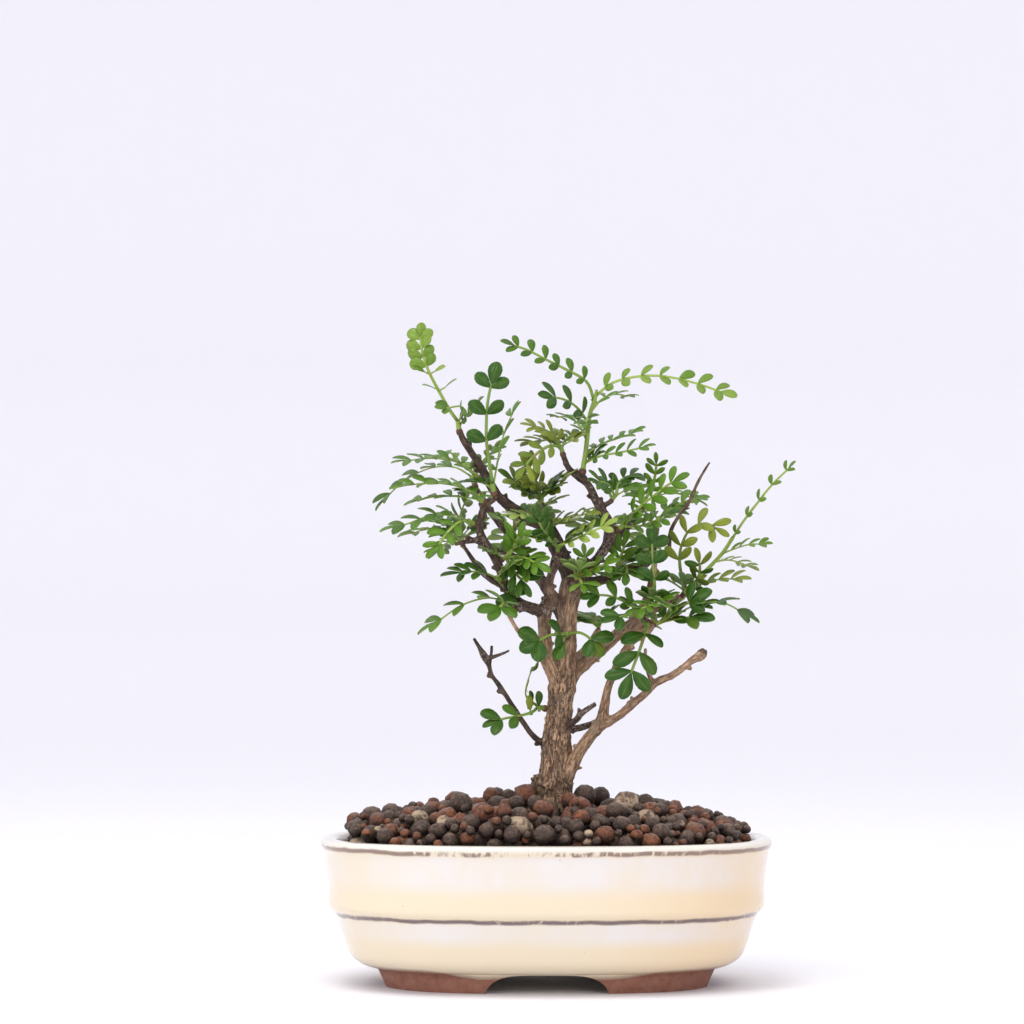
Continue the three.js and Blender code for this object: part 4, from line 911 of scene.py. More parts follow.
sprays = {
    "spray_top_left": shoot(
        "leaf_young", 0.32, 0, [(-28.9, -2.2, 183.5, 0.9), (-29.4, -2.6, 186.6, 0.8)],
        solid_leaf((-0.4, -0.8, 0.4), (-32, -4, 190), (-36, -5, 197), (-39.5, -6, 204), (-41.7, -6, 212),
            (-41.3, -5, 219), pairs=4, leaflet=5, bare=0.62, age=0.64, broad=1.3),
        new_leaf((-0.3, -0.6, 0.7), (-32.1, -6, 191), (-37.2, -9, 190.5), (-41, -10, 190), pairs=2,
            leaflet=4.4, bare=0.3, age=0.66, broad=1.3),
        solid_leaf((0, -0.6, 0.8), (-26, -5, 189), (-23, -8, 191.5), (-21, -10, 192), pairs=3,
            leaflet=4.4, age=0.66, broad=1.3),
        new_leaf((-0.1, -0.5, 0.9), (-45.2, -6, 202.8), (-48.8, -7, 202.2), pairs=0, leaflet=5.2,
            start=(-42.9, -5.5, 202), age=0.5, broad=1),
        new_leaf((0, -0.5, 0.9), (-40.8, -6.5, 203), (-37.6, -8, 203.4), pairs=0, leaflet=4.8,
            start=(-42.9, -5.5, 202), age=0.5, broad=1),
        new_leaf((-0.1, -0.5, 0.9), (-42, -6.5, 197.4), (-45.2, -8, 196.6), pairs=0, leaflet=5,
            start=(-39.5, -5.2, 196.7), age=0.6, broad=1),
        new_leaf((0.1, -0.5, 0.9), (-37, -6, 197.9), (-33.6, -7, 198.9), pairs=0, leaflet=5.2,
            start=(-39.5, -5.2, 196.7), age=0.6, broad=1),
    ),
    "spray_left_upright": shoot(
        "leaf_fresh", 0.82, 1, [(-17.3, -8, 162.3, 1), (-17.8, -8.4, 165.5, 0.9)],
        solid_leaf((0.1, -0.95, 0.3), (-18.7, -10, 172), (-19.7, -13, 179), (-19.7, -15, 187),
            (-19, -16, 194), (-16.5, -16, 204), pairs=3, leaflet=7, bare=0.4, age=1, broad=1.2),
        solid_leaf((-0.5, 0.1, 0.85), (-16, -3, 174), (-14.5, 2, 181), (-12, 6, 188), (-9, 9, 194),
            pairs=4, leaflet=5.8, age=0.85, broad=0.8),
    ),
    "spray_left_high": shoot(
        "leaf_fresh", 0.72, 0, [(-21.9, -1, 167.2, 0.8), (-24, -1.8, 168.6, 0.8)],
        solid_leaf((0, -0.3, 1), (-29, -4, 172.6), (-37, -6, 174), (-44, -8, 173.4), (-51.5, -9, 172),
            solid_pairs=3, solid_leaflet=7),
        solid_leaf((-0.1, -0.2, 1), (-27, 3, 172), (-33, 9, 175), (-38, 14, 175), solid_pairs=2,
            solid_leaflet=6.4),
        scale=0.88,
    ),
    "spray_left_middle": shoot(
        "leaf_fresh", 0.72, 1, [(-20.9, -9.8, 159.4, 0.9), (-22.6, -11.2, 160.4, 0.8)],
        solid_leaf((0, -0.28, 1), (-28, -13, 164), (-36, -15, 165.4), (-43, -16, 165),
            (-50.5, -17, 163.6), solid_pairs=3, solid_leaflet=7.4),
        solid_leaf((0, -0.25, 1), (-29, -8, 161.2), (-38, -5, 161.2), (-47, -3, 158.5), solid_pairs=2,
            solid_leaflet=6.4),
        solid_leaf((0, -0.3, 0.95), (-22.5, -15, 161.5), (-22, -19, 161), (-21, -22, 158.5),
            solid_pairs=1, solid_leaflet=4.4),
        scale=0.88,
    ),
    "spray_left_low": shoot(
        "leaf_fresh", 0.7, 0, [(-23.9, -10, 152, 0.8), (-25.9, -12, 153.2, 0.8)],
        solid_leaf((0, -0.35, 1), (-32, -14, 155.4), (-39, -16, 154.4), (-46, -17, 151.8),
            (-54, -18, 150), solid_pairs=2, solid_leaflet=8.1),
        solid_leaf((-0.1, -0.75, 0.6), (-28.5, -17, 152.6), (-32.5, -21, 149), (-36, -23, 144),
            (-39.5, -24, 142), solid_pairs=2, solid_leaflet=6.4),
        scale=0.85,
    ),
    "spray_back_left_end": shoot(
        "leaf_mature", 0.8, 0, [(-24.2, 34.1, 166.9, 0.9), (-25.4, 34.6, 170, 0.8)],
        solid_leaf((-0.2, -0.2, 0.95), (-31, 36, 173), (-39, 38, 173), (-47, 39, 169.5), (-53, 39, 164.5),
            (-58, 38, 158), solid_pairs=3, solid_leaflet=8.5),
        solid_leaf((0, 0.3, 0.95), (-24, 39, 173), (-22, 44, 175), (-20, 49, 174), solid_pairs=2,
            solid_leaflet=6.4),
        solid_leaf((-0.3, 0.3, 0.9), (-22, 31, 174), (-18, 27, 178), (-15, 23, 180), solid_pairs=2,
            solid_leaflet=5.9),
        scale=0.8,
    ),
    "spray_broken_stub": shoot(
        "leaf_fresh", 0.8, 0, [(-11.6, -12.5, 124.6, 0.9), (-13.2, -14, 126, 0.8)],
        solid_leaf((-0.1, -0.35, 0.95), (-19, -16, 127.6), (-27, -18, 125.5), (-34, -19, 121),
            (-40, -19, 115.5), pairs=3, leaflet=7.4, age=0.7, broad=0.8),
        solid_leaf((0, -0.8, 0.6), (-14, -18, 126), (-15.5, -22, 123.5), (-16.5, -25, 119), pairs=2,
            leaflet=7.6, age=1, broad=0.95),
    ),
    "spray_left_bend": shoot(
        "leaf_mature", 0.84, 2, [(-14.9, -10.1, 133.4, 0.8), (-16.6, -12, 134.4, 0.8)],
        solid_leaf((0, -0.5, 0.85), (-21, -14, 136), (-27, -16, 136), (-33.5, -17, 133.5), solid_pairs=2,
            solid_leaflet=6.4),
        new_leaf((0, -0.9, 0.4), (-17.5, -9, 130.5), (-16, -12, 128), (-13, -14, 127), pairs=1, leaflet=7,
            at=0.8, age=1.05, broad=0.95),
    ),
    "spray_left_spur": shoot(
        "leaf_mature", 0.78, 2, [(-27.95, 0.1, 145.65, 0.7), (-29.4, 0.9, 148.2, 0.7)],
        solid_leaf((-0.2, 0, 1), (-35, 5, 150.5), (-42, 10, 150.5), (-49, 14, 147.5), solid_pairs=2,
            solid_leaflet=7.2),
        solid_leaf((-0.2, 0.3, 0.95), (-31.5, 6, 147), (-35, 11.5, 145), (-38.5, 17, 141.5),
            solid_pairs=2, solid_leaflet=6.4),
        scale=0.8,
    ),
    "spray_trunk_front": shoot(
        "leaf_mature", 1.03, 0, [(6.9, -4.7, 115, 0.9), (6.6, -7, 115.8, 0.8)],
        new_leaf((0, -1, 0.3), (-0.2, -9, 115.6), (-4.4, -11, 114.8), (-11.6, -12, 109.8), pairs=2,
            leaflet=6.9, bare=0.15, broad=1.25),
        solid_leaf((0.1, -0.9, 0.4), (11, -10, 116.2), (15, -12, 113.5), (17, -13, 108), pairs=1,
            leaflet=6.9, bare=0.3, broad=1.25),
        new_leaf((0, -0.9, 0.4), (1.4, -8.6, 113.6), (0.4, -10, 107), pairs=0, leaflet=7, bare=0.1,
            broad=1.25),
    ),
    "spray_front_right": shoot(
        "leaf_mature", 1.05, 0, [(33.6, -7.2, 119, 0.9), (33.2, -9.4, 118.4, 0.8)],
        solid_leaf((0.1, -0.95, 0.3), (32.5, -13, 116), (30.5, -15, 110), (28, -16, 103.5),
            (25.5, -16.5, 95), pairs=3, leaflet=9.2, bare=0.2, broad=0.92),
        solid_leaf((0, -0.7, 0.7), (30, -13, 121.5), (24.5, -16, 121.5), (19.5, -18, 118), pairs=2,
            leaflet=6.4, broad=1),
    ),
    "spray_trunk_left": shoot(
        "leaf_fresh", 0.92, 0, [(-0.7, -1.5, 91, 0.9), (-2.8, -3.4, 91.6, 0.8)],
        solid_leaf((0, -0.8, 0.6), (-5, -8, 89.8), (-10, -11, 88.6), (-15, -12.5, 87.6),
            (-20.5, -13.5, 84.5), pairs=2, leaflet=6.6, bare=0.5, age=0.92, broad=1),
        new_leaf((1, -0.25, 0.1), (-10.8, -8, 95), (-10, -11, 101), (-7.4, -13, 107), pairs=3, leaflet=4,
            age=0.85, broad=1),
        new_leaf((0.2, -1, 0.2), (-9.6, -8.2, 91.5), (-8.6, -8.8, 95.6), pairs=0, leaflet=6.2,
            start=(-9, -7.6, 88.9), age=1.4, broad=1.1),
        new_leaf((0.6, -1, 0.2), (-6.6, -7.4, 93), (-5.6, -8, 97), pairs=0, leaflet=6,
            start=(-6.4, -6.6, 90), age=1.35, broad=1.1),
    ),
    "spray_crown_top": shoot(
        "leaf_fresh", 0.7, 1, [(12.2, -3.2, 170, 1), (13.3, -3.2, 177, 0.9), (14, -3, 184, 0.9),
            (14.7, -3, 189, 0.8), (16.3, -3, 194, 0.8), (16.9, -3, 197, 0.5)],
        solid_leaf((0.2, -0.9, 0.6), (13.5, -6, 199.5), (6.3, -9, 203.5), (0, -10.5, 206.5),
            (-7, -11, 210), (-14.5, -11, 212), pairs=6, leaflet=4.8, at=0.86, bare=0.25, age=0.76, broad=1),
        solid_leaf((0, -0.7, 0.75), (21.3, -5, 198.8), (28, -7, 200.8), (36.3, -9, 201.3),
            (44.7, -10, 200), (53, -11, 197.5), (62, -12, 194), pairs=7, leaflet=5.5, at=0.92, bare=0.12,
            age=0.52, broad=1),
        solid_leaf((0, -0.85, 0.55), (10, -8, 191), (4.5, -12, 193.6), (-3, -15, 193.6), pairs=3,
            leaflet=6.6, at=0.58, age=0.9, broad=0.95),
        solid_leaf((0, -0.1, 1), (13.8, -11, 186.5), (13.3, -18, 186.3), (12.6, -25, 182.5), pairs=3,
            leaflet=5, at=0.46),
        solid_leaf((-0.2, -0.6, 0.75), (17.5, -8, 174.5), (26, -12, 176), (35.5, -15, 178), pairs=5,
            leaflet=5.2, at=0.08),
        solid_leaf((-0.3, -0.3, 0.9), (18.5, 1, 179), (25, 4, 181.5), (33, 6, 184.5), pairs=5,
            leaflet=5.2, at=0.2),
        solid_leaf((0, 0.3, 0.95), (11, 5, 186), (7, 13, 189), (2, 21, 189), pairs=4, leaflet=4.8, at=0.38),
        solid_leaf((0.1, 0.3, 0.95), (19, 4, 194.5), (24, 11, 196.5), (30, 18, 195.5), pairs=4,
            leaflet=4.8, at=0.73),
    ),
    "spray_crown_middle": shoot(
        "leaf_fresh", 1.4, 3, [(5.5, -4.1, 175.8, 0.8), (4.9, -4.4, 178, 0.7)],
        solid_leaf((0.2, -0.85, 0.45), (1, -8, 178), (-4, -10, 174.6), (-10, -11.5, 167.5), solid_pairs=2,
            solid_leaflet=5.5),
        solid_leaf((0, -0.5, 0.85), (2.5, -5, 181.8), (-2.5, -6, 184.2), (-8, -7, 184), solid_pairs=2,
            solid_leaflet=4.9),
        solid_leaf((-0.1, 0.2, 0.95), (2, 1, 180), (-3, 6, 180.5), (-8, 11, 178.5), solid_pairs=2,
            solid_leaflet=5.7),
        scale=0.95,
    ),
    "spray_right_branch": shoot(
        "leaf_fresh", 0.72, 2, [(24.2, -3.6, 150.6, 0.9), (26, -4.8, 152, 0.8)],
        solid_leaf((-0.3, -0.75, 0.55), (29.5, -8, 156.5), (35, -10, 161), (41, -11, 165.5),
            (47, -12, 168), pairs=5, leaflet=6.4),
        solid_leaf((0, -0.6, 0.8), (31, -5, 151.5), (37, -6.5, 153.5), (43, -8.5, 154), pairs=4,
            leaflet=5.8),
    ),
    "spray_right_stub_high": shoot(
        "leaf_mature", 0.85, 2, [(21.9, -2.9, 160.2, 0.7), (23.4, -2.7, 162, 0.7)],
        solid_leaf((-0.1, -0.5, 0.85), (24.5, 1.5, 166.5), (28.5, 4, 168.6), (33, 5.5, 166),
            solid_pairs=2, solid_leaflet=5.4),
        solid_leaf((0.1, -0.8, 0.6), (21, -6.5, 165), (17.5, -10, 166), (14, -12.5, 163.5), solid_pairs=1,
            solid_leaflet=5.2),
    ),
    "spray_back_right_end": shoot(
        "leaf_young", 0.8, 1, [(33.2, 22.1, 158.9, 0.9), (34.2, 22.4, 161.8, 0.8)],
        solid_leaf((-0.1, -0.9, 0.4), (36.5, 22, 166), (37.5, 21, 171), (38, 20, 177), solid_pairs=2,
            solid_leaflet=4.7),
        solid_leaf((0.1, 0.1, 1), (41, 25, 163.5), (48, 28, 163), (55, 30, 159.5), solid_pairs=2,
            solid_leaflet=7),
        solid_leaf((0, 0.3, 0.95), (33, 29, 165.5), (31, 36, 166.5), (29, 43, 164), solid_pairs=2,
            solid_leaflet=6.8),
        scale=0.85,
    ),
    "spray_right_stub": shoot(
        "leaf_fresh", 0.7, 3, [(37.5, 11, 152.6, 0.9), (38.2, 12.2, 155, 0.8)],
        solid_leaf((-0.2, -0.5, 0.85), (42.5, 14.5, 158), (48, 16, 160.8), (55, 17, 162), solid_pairs=2,
            solid_leaflet=5.7),
        solid_leaf((0, -0.7, 0.7), (35.5, 9, 157), (32.5, 5.5, 156.5), (30, 3.5, 153.5), solid_pairs=1,
            solid_leaflet=5),
    ),
    "spray_left_limb_tip": shoot(
        "leaf_reddish", 1.2, 4, [(3.7, -7.2, 142.8, 0.8), (4, -8.4, 145, 0.7)],
        solid_leaf((0, -0.7, 0.7), (9.5, -12, 147), (16, -14, 150), (23, -15, 152.6), solid_pairs=2,
            solid_leaflet=4.9, age=0.25),
        solid_leaf((0, -0.9, 0.4), (0.5, -12, 148), (-2.5, -14, 152.5), (-3.5, -15, 157), solid_pairs=2,
            solid_leaflet=4.6),
    ),
    "spray_right_facing": shoot(
        "leaf_mature", 0.92, 1, [(34.4, 0.6, 125.3, 0.8), (35.3, -1.6, 126.4, 0.8)],
        solid_leaf((0, -1, 0.1), (36, -5, 131), (35.4, -7, 138.5), (34.7, -8, 151), pairs=4, leaflet=6.2,
            bare=0.14, broad=1.22),
    ),
    "spray_main_front": shoot(
        "leaf_young", 0.5, 4, [(9.8, -5, 134, 0.8), (10.4, -7, 135.2, 0.8)],
        solid_leaf((0, -0.9, 0.4), (12.5, -9, 138.4), (12.4, -9.6, 142.4), (10, -9, 144), pairs=2,
            leaflet=4.8),
        solid_leaf((0, -0.7, 0.7), (14.5, -9.5, 137), (19, -11.5, 138.5), (24, -13, 138.6), pairs=3,
            leaflet=5.6),
        solid_leaf((0, -0.6, 0.8), (11, -11, 134), (12, -14.5, 131.5), (13, -17, 128.6), pairs=2,
            leaflet=5.6),
    ),
    "spray_knot_left": shoot(
        "leaf_mature", 0.86, 2, [(32.2, -4.8, 121, 0.7), (31.2, -5.4, 123, 0.7)],
        solid_leaf((0, -0.8, 0.6), (26, -7.5, 126.5), (19, -8.5, 128.6), (11.5, -8.5, 127.5), pairs=3,
            leaflet=6.2, broad=0.95),
    ),
    "spray_knot_right": shoot(
        "leaf_fresh", 0.74, 4, [(36.2, -3.8, 118.9, 0.8), (38.4, -4.2, 119.8, 0.8)],
        solid_leaf((0, -0.4, 0.9), (41.5, -9, 123), (38, -14, 125.5), (32, -18, 124.5), (27, -20, 121),
            pairs=5, leaflet=5.4, bare=0.4, age=0.75, broad=0.95),
        solid_leaf((0, -0.3, 0.95), (44.7, -6, 123), (51.5, -8, 126), (60, -10, 125.5), (69.5, -11, 119),
            pairs=4, leaflet=7.8, bare=0.2, age=0.95),
        new_leaf((0, -0.6, 0.8), (38, -6, 120.5), (44, -8.5, 121.3), (50.5, -10, 120.6), pairs=1,
            leaflet=8.2, at=0.5, age=1, broad=0.9),
        new_leaf((-0.3, -0.9, 0.3), (38.5, -5, 124), (43.5, -7, 126.5), (48, -8.5, 131), pairs=1,
            leaflet=7.4, at=0.8, age=1.05, broad=0.95),
        new_leaf((0, -0.4, 0.9), (38, -4, 121), (43.5, -4, 124.5), (52.5, -5, 126.5), pairs=2,
            leaflet=7.4, at=0.9, age=0.95),
    ),
    "spray_right_arm": shoot(
        "leaf_fresh", 1.25, 2, [(45.9, 1.9, 129, 0.8), (46.7, 1.6, 131, 0.8)],
        solid_leaf((-0.3, -0.75, 0.55), (44.8, 0.4, 137), (44.8, -0.6, 144), (48, -1.5, 150.6),
            (54, -2.5, 152.4), (60, -3.5, 147), solid_pairs=3, solid_leaflet=5.9, bare=0.3),
        solid_leaf((0, -0.9, 0.4), (50.3, -2, 134), (51, -5, 138.5), (48.5, -7, 143), solid_pairs=2,
            solid_leaflet=5.2),
        solid_leaf((0, -0.4, 0.9), (52, -1, 132.5), (59, -4, 134), (67.5, -6, 133.5), solid_pairs=2,
            solid_leaflet=5.7),
    ),
    "spray_far_right": shoot(
        "leaf_fresh", 0.5, 0, [(47.6, 3.4, 129.4, 0.8), (51.5, 4, 134.5, 0.8), (55.7, 4, 139, 0.7),
            (59, 3, 142.6, 0.7), (62.5, 2, 148, 0.7)],
        solid_leaf((-0.5, -0.6, 0.6), (66, 0, 153.5), (70.5, -2, 159.5), (75.3, -4, 165.5), (83, -5, 173),
            solid_pairs=3, leaflet=3.8, at=0.97, bare=0.1, broad=0.9),
        solid_leaf((0, -0.4, 0.9), (64, -1, 144.5), (69, -4, 145.6), (75, -6, 145), solid_pairs=2,
            leaflet=4.6, at=0.72),
        solid_leaf((0.1, 0.2, 0.95), (61, 8, 140.5), (66, 12, 139.5), (71, 15, 137), solid_pairs=2,
            leaflet=4.8, at=0.56),
    ),
    "spray_back_left_twig": shoot(
        "leaf_mature", 0.78, 4, [(-26.7, 14.9, 148.4, 0.7), (-28.8, 15, 149.6, 0.7)],
        solid_leaf((-0.2, 0.1, 1), (-33, 20, 153), (-38, 25, 154.5), (-43, 30, 152.5), solid_pairs=2,
            solid_leaflet=7),
        solid_leaf((-0.7, 0.5, 0.3), (-29, 18, 155), (-27.5, 21, 160), (-25, 23, 164.5), solid_pairs=2,
            solid_leaflet=5.9),
        scale=0.9,
    ),
    "spray_back_middle": shoot(
        "leaf_fresh", 0.72, 5, [(-10.8, 23.4, 151.1, 0.8), (-10, 24, 153.4, 0.8)],
        solid_leaf((0.1, 0.3, 0.95), (-7, 30, 155.5), (-3, 36, 156.5), (2, 42, 154.5), solid_pairs=2,
            solid_leaflet=7),
        solid_leaf((0, 0, 1), (-5, 21, 157), (1, 18.5, 160), (7, 16, 160.5), solid_pairs=2,
            solid_leaflet=6.1),
        solid_leaf((-0.1, 0.6, 0.8), (-12, 31, 150.5), (-14, 38, 147.5), (-15.5, 45, 142.5),
            solid_pairs=2, solid_leaflet=7),
        scale=0.95,
    ),
    "spray_back_right_twig": shoot(
        "leaf_mature", 0.7, 2, [(21.1, 33.7, 150.7, 0.7), (21.4, 35, 152.6, 0.7)],
        solid_leaf((0, 0.5, 0.85), (18, 40, 154), (14, 45, 153), (10, 49.5, 149.5), solid_pairs=2,
            solid_leaflet=6.4),
        solid_leaf((0.3, 0.4, 0.85), (27, 37, 150.5), (33, 39.5, 147), (39, 41, 141.5), solid_pairs=2,
            solid_leaflet=7),
        scale=0.95,
    ),
    "spray_back_low": shoot(
        "leaf_mature", 0.78, 4, [(18.1, 26.35, 117.25, 0.7), (18.6, 28.2, 119.4, 0.7)],
        solid_leaf((0.1, 0.1, 1), (24, 31, 121.5), (31, 33, 120.5), (38, 34, 116.5), solid_pairs=2,
            solid_leaflet=7),
        solid_leaf((-0.1, 0.3, 0.95), (14, 33, 121), (9, 38, 119.5), (4, 42, 115.5), solid_pairs=2,
            solid_leaflet=7),
        scale=0.9,
    ),
    "spray_leader_top": shoot(
        "leaf_fresh", 1.22, 6, [(-1.6, 1.9, 159.1, 0.9), (-1.5, 1.4, 162, 0.8)],
        solid_leaf((0.1, -0.8, 0.5), (-3.5, -2, 166), (-6, -5, 170.5), (-8.5, -7, 175), solid_pairs=2,
            solid_leaflet=5.6),
        solid_leaf((0, -0.6, 0.8), (3, -1, 164.5), (6.5, -5, 167), (9, -9, 167.5), solid_pairs=2,
            solid_leaflet=5.4),
        solid_leaf((0, -0.5, 0.85), (-6, -1, 162.5), (-10, -3.5, 164.5), (-14, -5.5, 163.8),
            solid_pairs=2, solid_leaflet=5.4),
        solid_leaf((-0.1, 0.2, 1), (-2.5, 7, 163.5), (-5, 13, 165), (-8, 18, 163.5), solid_pairs=2,
            solid_leaflet=6),
        new_leaf((0, -0.6, 0.8), (-10.5, -2.5, 162.5), (-15, -5, 166.5), (-19.5, -7, 168.5), pairs=4,
            leaflet=6, at=0.9, age=1.3),
    ),
    "spray_leader_front": shoot(
        "leaf_young", 1.3, 5, [(0.9, -1.8, 149.6, 0.8), (0.4, -4, 151.2, 0.8)],
        solid_leaf((0, -0.3, 0.95), (-4, -7, 154), (-9, -9.5, 155), (-14.5, -11.5, 153.5), solid_pairs=2,
            leaflet=6, age=0.35),
        solid_leaf((0, -0.3, 0.95), (5.5, -6.5, 153), (11, -8.5, 155), (17, -10, 155), solid_pairs=2,
            leaflet=5.8),
    ),
    "spray_left_inner": shoot(
        "leaf_mature", 0.78, 3, [(-14.3, -8.7, 140.5, 0.8), (-12.3, -10.2, 141.6, 0.8)],
        solid_leaf((0, -0.95, 0.3), (-10.5, -12.5, 145), (-9, -14.5, 149), (-8.5, -15, 153),
            solid_pairs=1, solid_leaflet=5.4),
        solid_leaf((0, -0.7, 0.7), (-8.5, -13, 141.2), (-4.5, -16, 139.6), (0, -18, 136), solid_pairs=2,
            solid_leaflet=5.4),
        new_leaf((0, -0.8, 0.6), (-14, -11, 139), (-10, -13, 137.5), (-6.5, -14.5, 134.5), pairs=3,
            leaflet=6.6, at=0.8, age=0.8),
        new_leaf((0, -1, 0.3), (-15.5, -10, 137), (-12, -12, 133), (-10, -13.5, 128.5), pairs=3,
            leaflet=6.4, at=0.5, age=0.9),
    ),
    "spray_dark_branch": shoot(
        "leaf_mature", 0.78, 3, [(24.3, 4.6, 137.4, 0.8), (23.9, 2.6, 139, 0.8)],
        solid_leaf((0, -0.9, 0.4), (25.5, 1, 143), (26.5, 1, 146.5), (27.5, 1, 150), solid_pairs=1,
            solid_leaflet=5.4),
        solid_leaf((0, -0.6, 0.8), (26.5, -1, 138.6), (26.8, -4.5, 136), (26, -8, 132), solid_pairs=2,
            solid_leaflet=5.2),
    ),
}

# The models are one unit long. A leaflet's rows are the distance from its foot and its half width.
leaflet_rows = [
    (0, 0.014), (0.05, 0.045), (0.16, 0.118), (0.31, 0.205), (0.5, 0.272), (0.69, 0.285), (0.85, 0.225),
    (0.96, 0.12), (0.99, 0.04),
]
leaflet_pieces = len(leaflet_rows) - 1
leaflet_thickness = 0.03
cupping = 0.16
arching = 0.18
midrib_depth = 0.015
rachis_pieces = 18
wing_rise = 0.35
wing_taper = 0.45
wing_thickness = 0.4


def strip(name, pieces):
    """A flat strip from the origin along X, one unit long and wide, with points down its middle."""
    bpy.ops.object.select_all(action="DESELECT")
    bpy.ops.mesh.primitive_grid_add(x_subdivisions=pieces, y_subdivisions=2, size=1, location=(0.5, 0, 0))
    bpy.ops.object.transform_apply(location=True)
    bpy.context.object.name = name
    return bpy.context.object


leaflet_model = strip("leaflet", leaflet_pieces)
outer = []
lengthwise = []
for vertex in leaflet_model.data.vertices:
    along, half = leaflet_rows[round(vertex.co.x * leaflet_pieces)]
    side = vertex.co.y * 2
    outer.append(abs(side))
    lengthwise.append(along)
    rise = cupping * side * side * half - arching * (along - 0.5) ** 2 + arching / 4
    vertex.co = (along, side * half, rise)
    if side == 0:
        vertex.co.z -= midrib_depth
keep(leaflet_model.data, "outer", outer)
keep(leaflet_model.data, "lengthwise", lengthwise)
finish_shape(leaflet_model, ("SOLIDIFY", {"thickness": leaflet_thickness, "offset": -1}))
bpy.ops.object.shade_smooth()

rachis_model = strip("rachis", rachis_pieces)
for vertex in rachis_model.data.vertices:
    vertex.co.z = wing_rise * abs(vertex.co.y)
    vertex.co.y *= 1 - wing_taper * vertex.co.x
finish_shape(rachis_model, ("SOLIDIFY", {"thickness": wing_thickness, "offset": -1}))
bpy.ops.object.shade_smooth()

bpy.ops.object.select_all(action="DESELECT")
bpy.ops.mesh.primitive_uv_sphere_add(segments=12, ring_count=8, radius=1)
bud_model = bpy.context.object
bud_model.name = "bud"
for vertex in bud_model.data.vertices:
    vertex.co *= 1 + 0.12 * math.sin(vertex.co.x * 5 + vertex.co.z * 7) * math.cos(vertex.co.y * 6)
bpy.ops.object.shade_smooth()


def curve_through(points):
    """Points at even lengths along a smooth curve through the given points, and the curve's length."""
    steps = 12
    even_points = 41
    points = [Vector(point) for point in points]
    first = points[0] * 2 - points[1]
    last = points[-1] * 2 - points[-2]
    knots = [first] + points + [last]
    fine = []
    for a, b, c, d in zip(knots, knots[1:], knots[2:], knots[3:]):
        for step in range(steps):
            t = step / steps
            fine.append(0.5 * (2 * b + (c - a) * t + (2 * a - 5 * b + 4 * c - d) * t * t
                               + (3 * b - a - 3 * c + d) * t * t * t))
    fine.append(points[-1])
    lengths = np.cumsum([0] + [(after - before).length for before, after in zip(fine, fine[1:])])
    even = np.linspace(0, lengths[-1], even_points)
    coordinates = [np.interp(even, lengths, [point[axis] for point in fine]) for axis in range(3)]
    return [Vector(point) for point in zip(*coordinates)], lengths[-1]


def frame_on(curve, share, facing):
    """The point at a share of the curve, the way along it, the way across it and the upper side's way."""
    place = min(max(share, 0), 1) * (len(curve) - 1)
    i = min(int(place), len(curve) - 2)
    point = curve[i].lerp(curve[i + 1], place - i)
    along = (curve[min(i + 2, len(curve) - 1)] - curve[max(i - 1, 0)]).normalized()
    up = (facing - along * facing.dot(along)).normalized()
    return point, along, up.cross(along), up


def leaf(start, row, age):
    """The rachis and the leaflets of a compound leaf, along its path from the stem."""
    curve, span = curve_through([start, *row["path"]])
    facing = Vector(row["facing"]).normalized()
    length = row["leaflet"]
    bare = row.get("bare", usual_bare)
    broad = row.get("broad", usual_broad)
    end = 1 - length / span * 0.9
    rachis = copy_of(rachis_model, Matrix.Identity(4), age)
    for vertex in rachis.data.vertices:
        along_leaf, side, rise = vertex.co
        point, along, across, up = frame_on(curve, along_leaf * end, facing)
        vertex.co = point + across * side * rachis_width + up * rise * rachis_depth
    parts = [rachis]
    pairs = row["pairs"]
    gap = (end - bare) / max(pairs - 1, 1)
    spots = [(end - gap * i - 0.03, side) for i in range(pairs) for side in (-1, 1)]
    for share, side in spots + [(end, 0)]:
        point, along, across, up = frame_on(curve, share, facing)
        lift = random.uniform(-0.05, 0.2)
        swing = random.uniform(0.55, 0.9) + 0.2 * broad if side else random.uniform(-0.15, 0.15)
        way = along * math.cos(swing) + across * side * math.sin(swing)
        if not side:
            way = along + across * swing
        way = (way + up * lift).normalized()
        upper = (up - way * up.dot(way)).normalized()
        upper = Matrix.Rotation(random.uniform(-0.3, 0.3), 3, way) @ upper
        size = length * (1.1 - 0.3 * abs(share - 0.6)) * random.uniform(0.88, 1.1)
        turn = Matrix((way, upper.cross(way), upper)).transposed().to_4x4()
        wide = size * broad * random.uniform(0.84, 1)
        place = Matrix.Translation(point) @ turn @ Matrix.Diagonal((size, wide, size, 1))
        parts.append(copy_of(leaflet_model, place, age + random.uniform(-0.1, 0.08)))
    return parts


def tuft(foot):
    """A short leaf of a few pairs that springs from a spur, out and up, and bends over."""
    turn = random.uniform(0, full_turn)
    out = Vector((math.cos(turn), math.sin(turn), random.uniform(0.1, 0.9))).normalized()
    reach = random.uniform(*tuft_reach)
    path = [foot + out * reach * share + Vector((0, 0, 0.35 * reach * (share - share * share * 1.4)))
            for share in (0.35, 0.7, 1)]
    pairs = random.choice((2, 3, 3))
    facing = (out.x * -0.3, out.y * -0.3 - 0.35, 0.9)
    return leaf_row(0, pairs, tuft_leaflet * random.uniform(0.75, 1), facing, *path, bare=0.3)


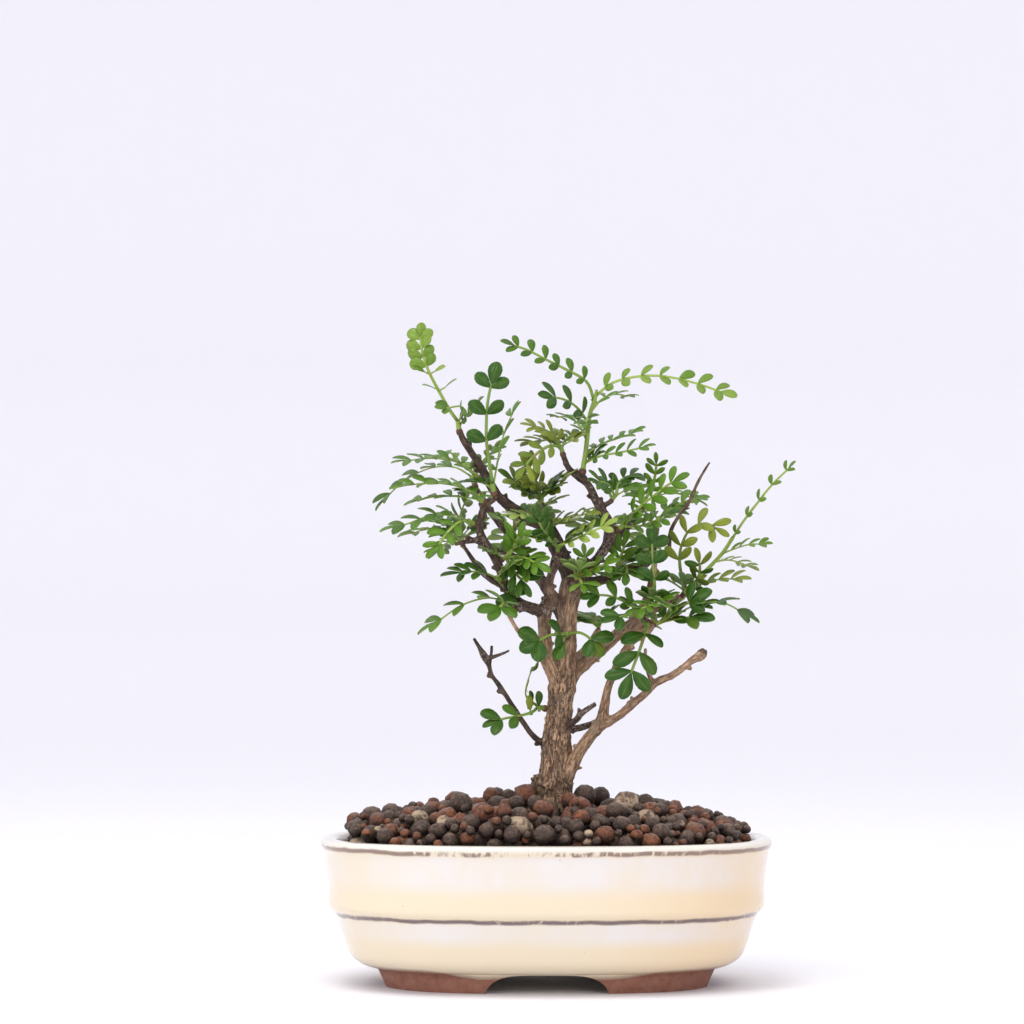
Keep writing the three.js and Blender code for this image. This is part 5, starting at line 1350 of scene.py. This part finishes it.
leaf_top = Finish("leaf_top")
leaf_top_colours = [
    (0.3, 0.4, 0.07, 1), (0.085, 0.2, 0.006, 1), (0.02, 0.082, 0.002, 1), (0.22, 0.27, 0.025, 1),
]
leaf_under = Finish("leaf_under")
leaf_under_colours = [
    (0.33, 0.44, 0.1, 1), (0.21, 0.31, 0.08, 1), (0.13, 0.22, 0.07, 1), (0.25, 0.3, 0.08, 1),
]
for finish, (young, fresh, mature, olive), roughness in (
    (leaf_top, leaf_top_colours, 0.24),
    (leaf_under, leaf_under_colours, 0.5),
):
    age = finish.kept("tone")
    outer = finish.kept("outer")
    lengthwise = finish.kept("lengthwise")
    colour = finish.mix(age.step(0.05, 0.55), young, fresh)
    colour = finish.mix(age.step(0.55, 0.95), colour, mature)
    colour = finish.mix(age.step(1.05, 1.3), colour, olive)
    mottle = finish.noise(350, detail=3)
    colour = finish.mix(mottle.step(0.35, 0.75) * 0.08, colour, young)
    midrib = outer.step(0.2, 0.04)
    veins = (lengthwise * 9 - outer * 2.2).math("FRACT").step(0.75, 1)
    colour = finish.mix(midrib * 0.1 + veins * 0.04 + outer.step(0.86, 1) * 0.12, colour, young)
    finish.set(colour, roughness + mottle * 0.14)
    finish.bump(mottle * 0.5 - midrib * 0.6 - veins * 0.25, 0.0002)
    finish.shader.inputs["Specular IOR Level"].default_value = 0.3

young_stalk = (0.31, 0.42, 0.06, 1)
mature_stalk = (0.17, 0.27, 0.035, 1)
red_stalk = (0.3, 0.14, 0.04, 1)
stalk_green = Finish("green_stalk")
colour = stalk_green.mix(stalk_green.kept("tone").step(0.1, 1), young_stalk, mature_stalk)
colour = stalk_green.mix(stalk_green.noise(160, detail=2).step(0.55, 0.75) * 0.5, colour, red_stalk)
stalk_green.set(colour, 0.45)
stalk_green.bump(stalk_green.noise(900), 0.0002)

dark_scale = (0.04, 0.018, 0.012, 1)
light_scale = (0.19, 0.085, 0.045, 1)
bud_scales = Finish("bud_scales")
bud_scales.set(bud_scales.mix(bud_scales.noise(900, detail=4), dark_scale, light_scale), 0.7)
bud_scales.bump(bud_scales.noise(1500, detail=3), 0.0003)

leaflet_model.data.materials.append(leaf_top.material)
leaflet_model.data.materials.append(leaf_under.material)
for polygon in leaflet_model.data.polygons:
    polygon.material_index = 0 if polygon.normal.z > 0.2 else 1
stalk_green.cover(rachis_model)
bud_scales.cover(bud_model)

for name, spray in sprays.items():
    age = spray["age"]
    foot, second = (Vector(row[:3]) for row in spray["stem"][:2])
    way = (second - foot).normalized()
    thick = spray["stem"][0][3]
    stem = branch([(*(foot - way * stem_seat), thick)] + spray["stem"], 8)
    stalk_green.cover(stem)
    keep(stem.data, "tone", [age] * len(stem.data.vertices))
    bud_turn = way.to_track_quat("Z", "Y").to_matrix().to_4x4()
    bud_size = Matrix.Diagonal((thick * 1.3, thick * 1.3, thick * 1.6, 1))
    parts = [stem, copy_of(bud_model, Matrix.Translation(foot - way * bud_seat) @ bud_turn @ bud_size, age)]
    stem_curve, _ = curve_through([row[:3] for row in spray["stem"]])
    for row in spray["leaves"]:
        start = frame_on(stem_curve, row["at"], Vector((0, -1, 0)))[0]
        if "start" in row:
            start = Vector(row["start"])
        parts += leaf(start, row, row.get("age", age) + random.uniform(-0.24, 0.08))
    for _ in range(spray["tufts"]):
        start = foot.lerp(second, random.random())
        parts += leaf(start, tuft(start), age + random.uniform(-0.25, 0.2))
    piece = join(name.replace("spray", "leafy"), parts)
    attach(piece, "root")
    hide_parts(name)
for model in (leaflet_model, rachis_model, bud_model):
    bpy.data.objects.remove(model)
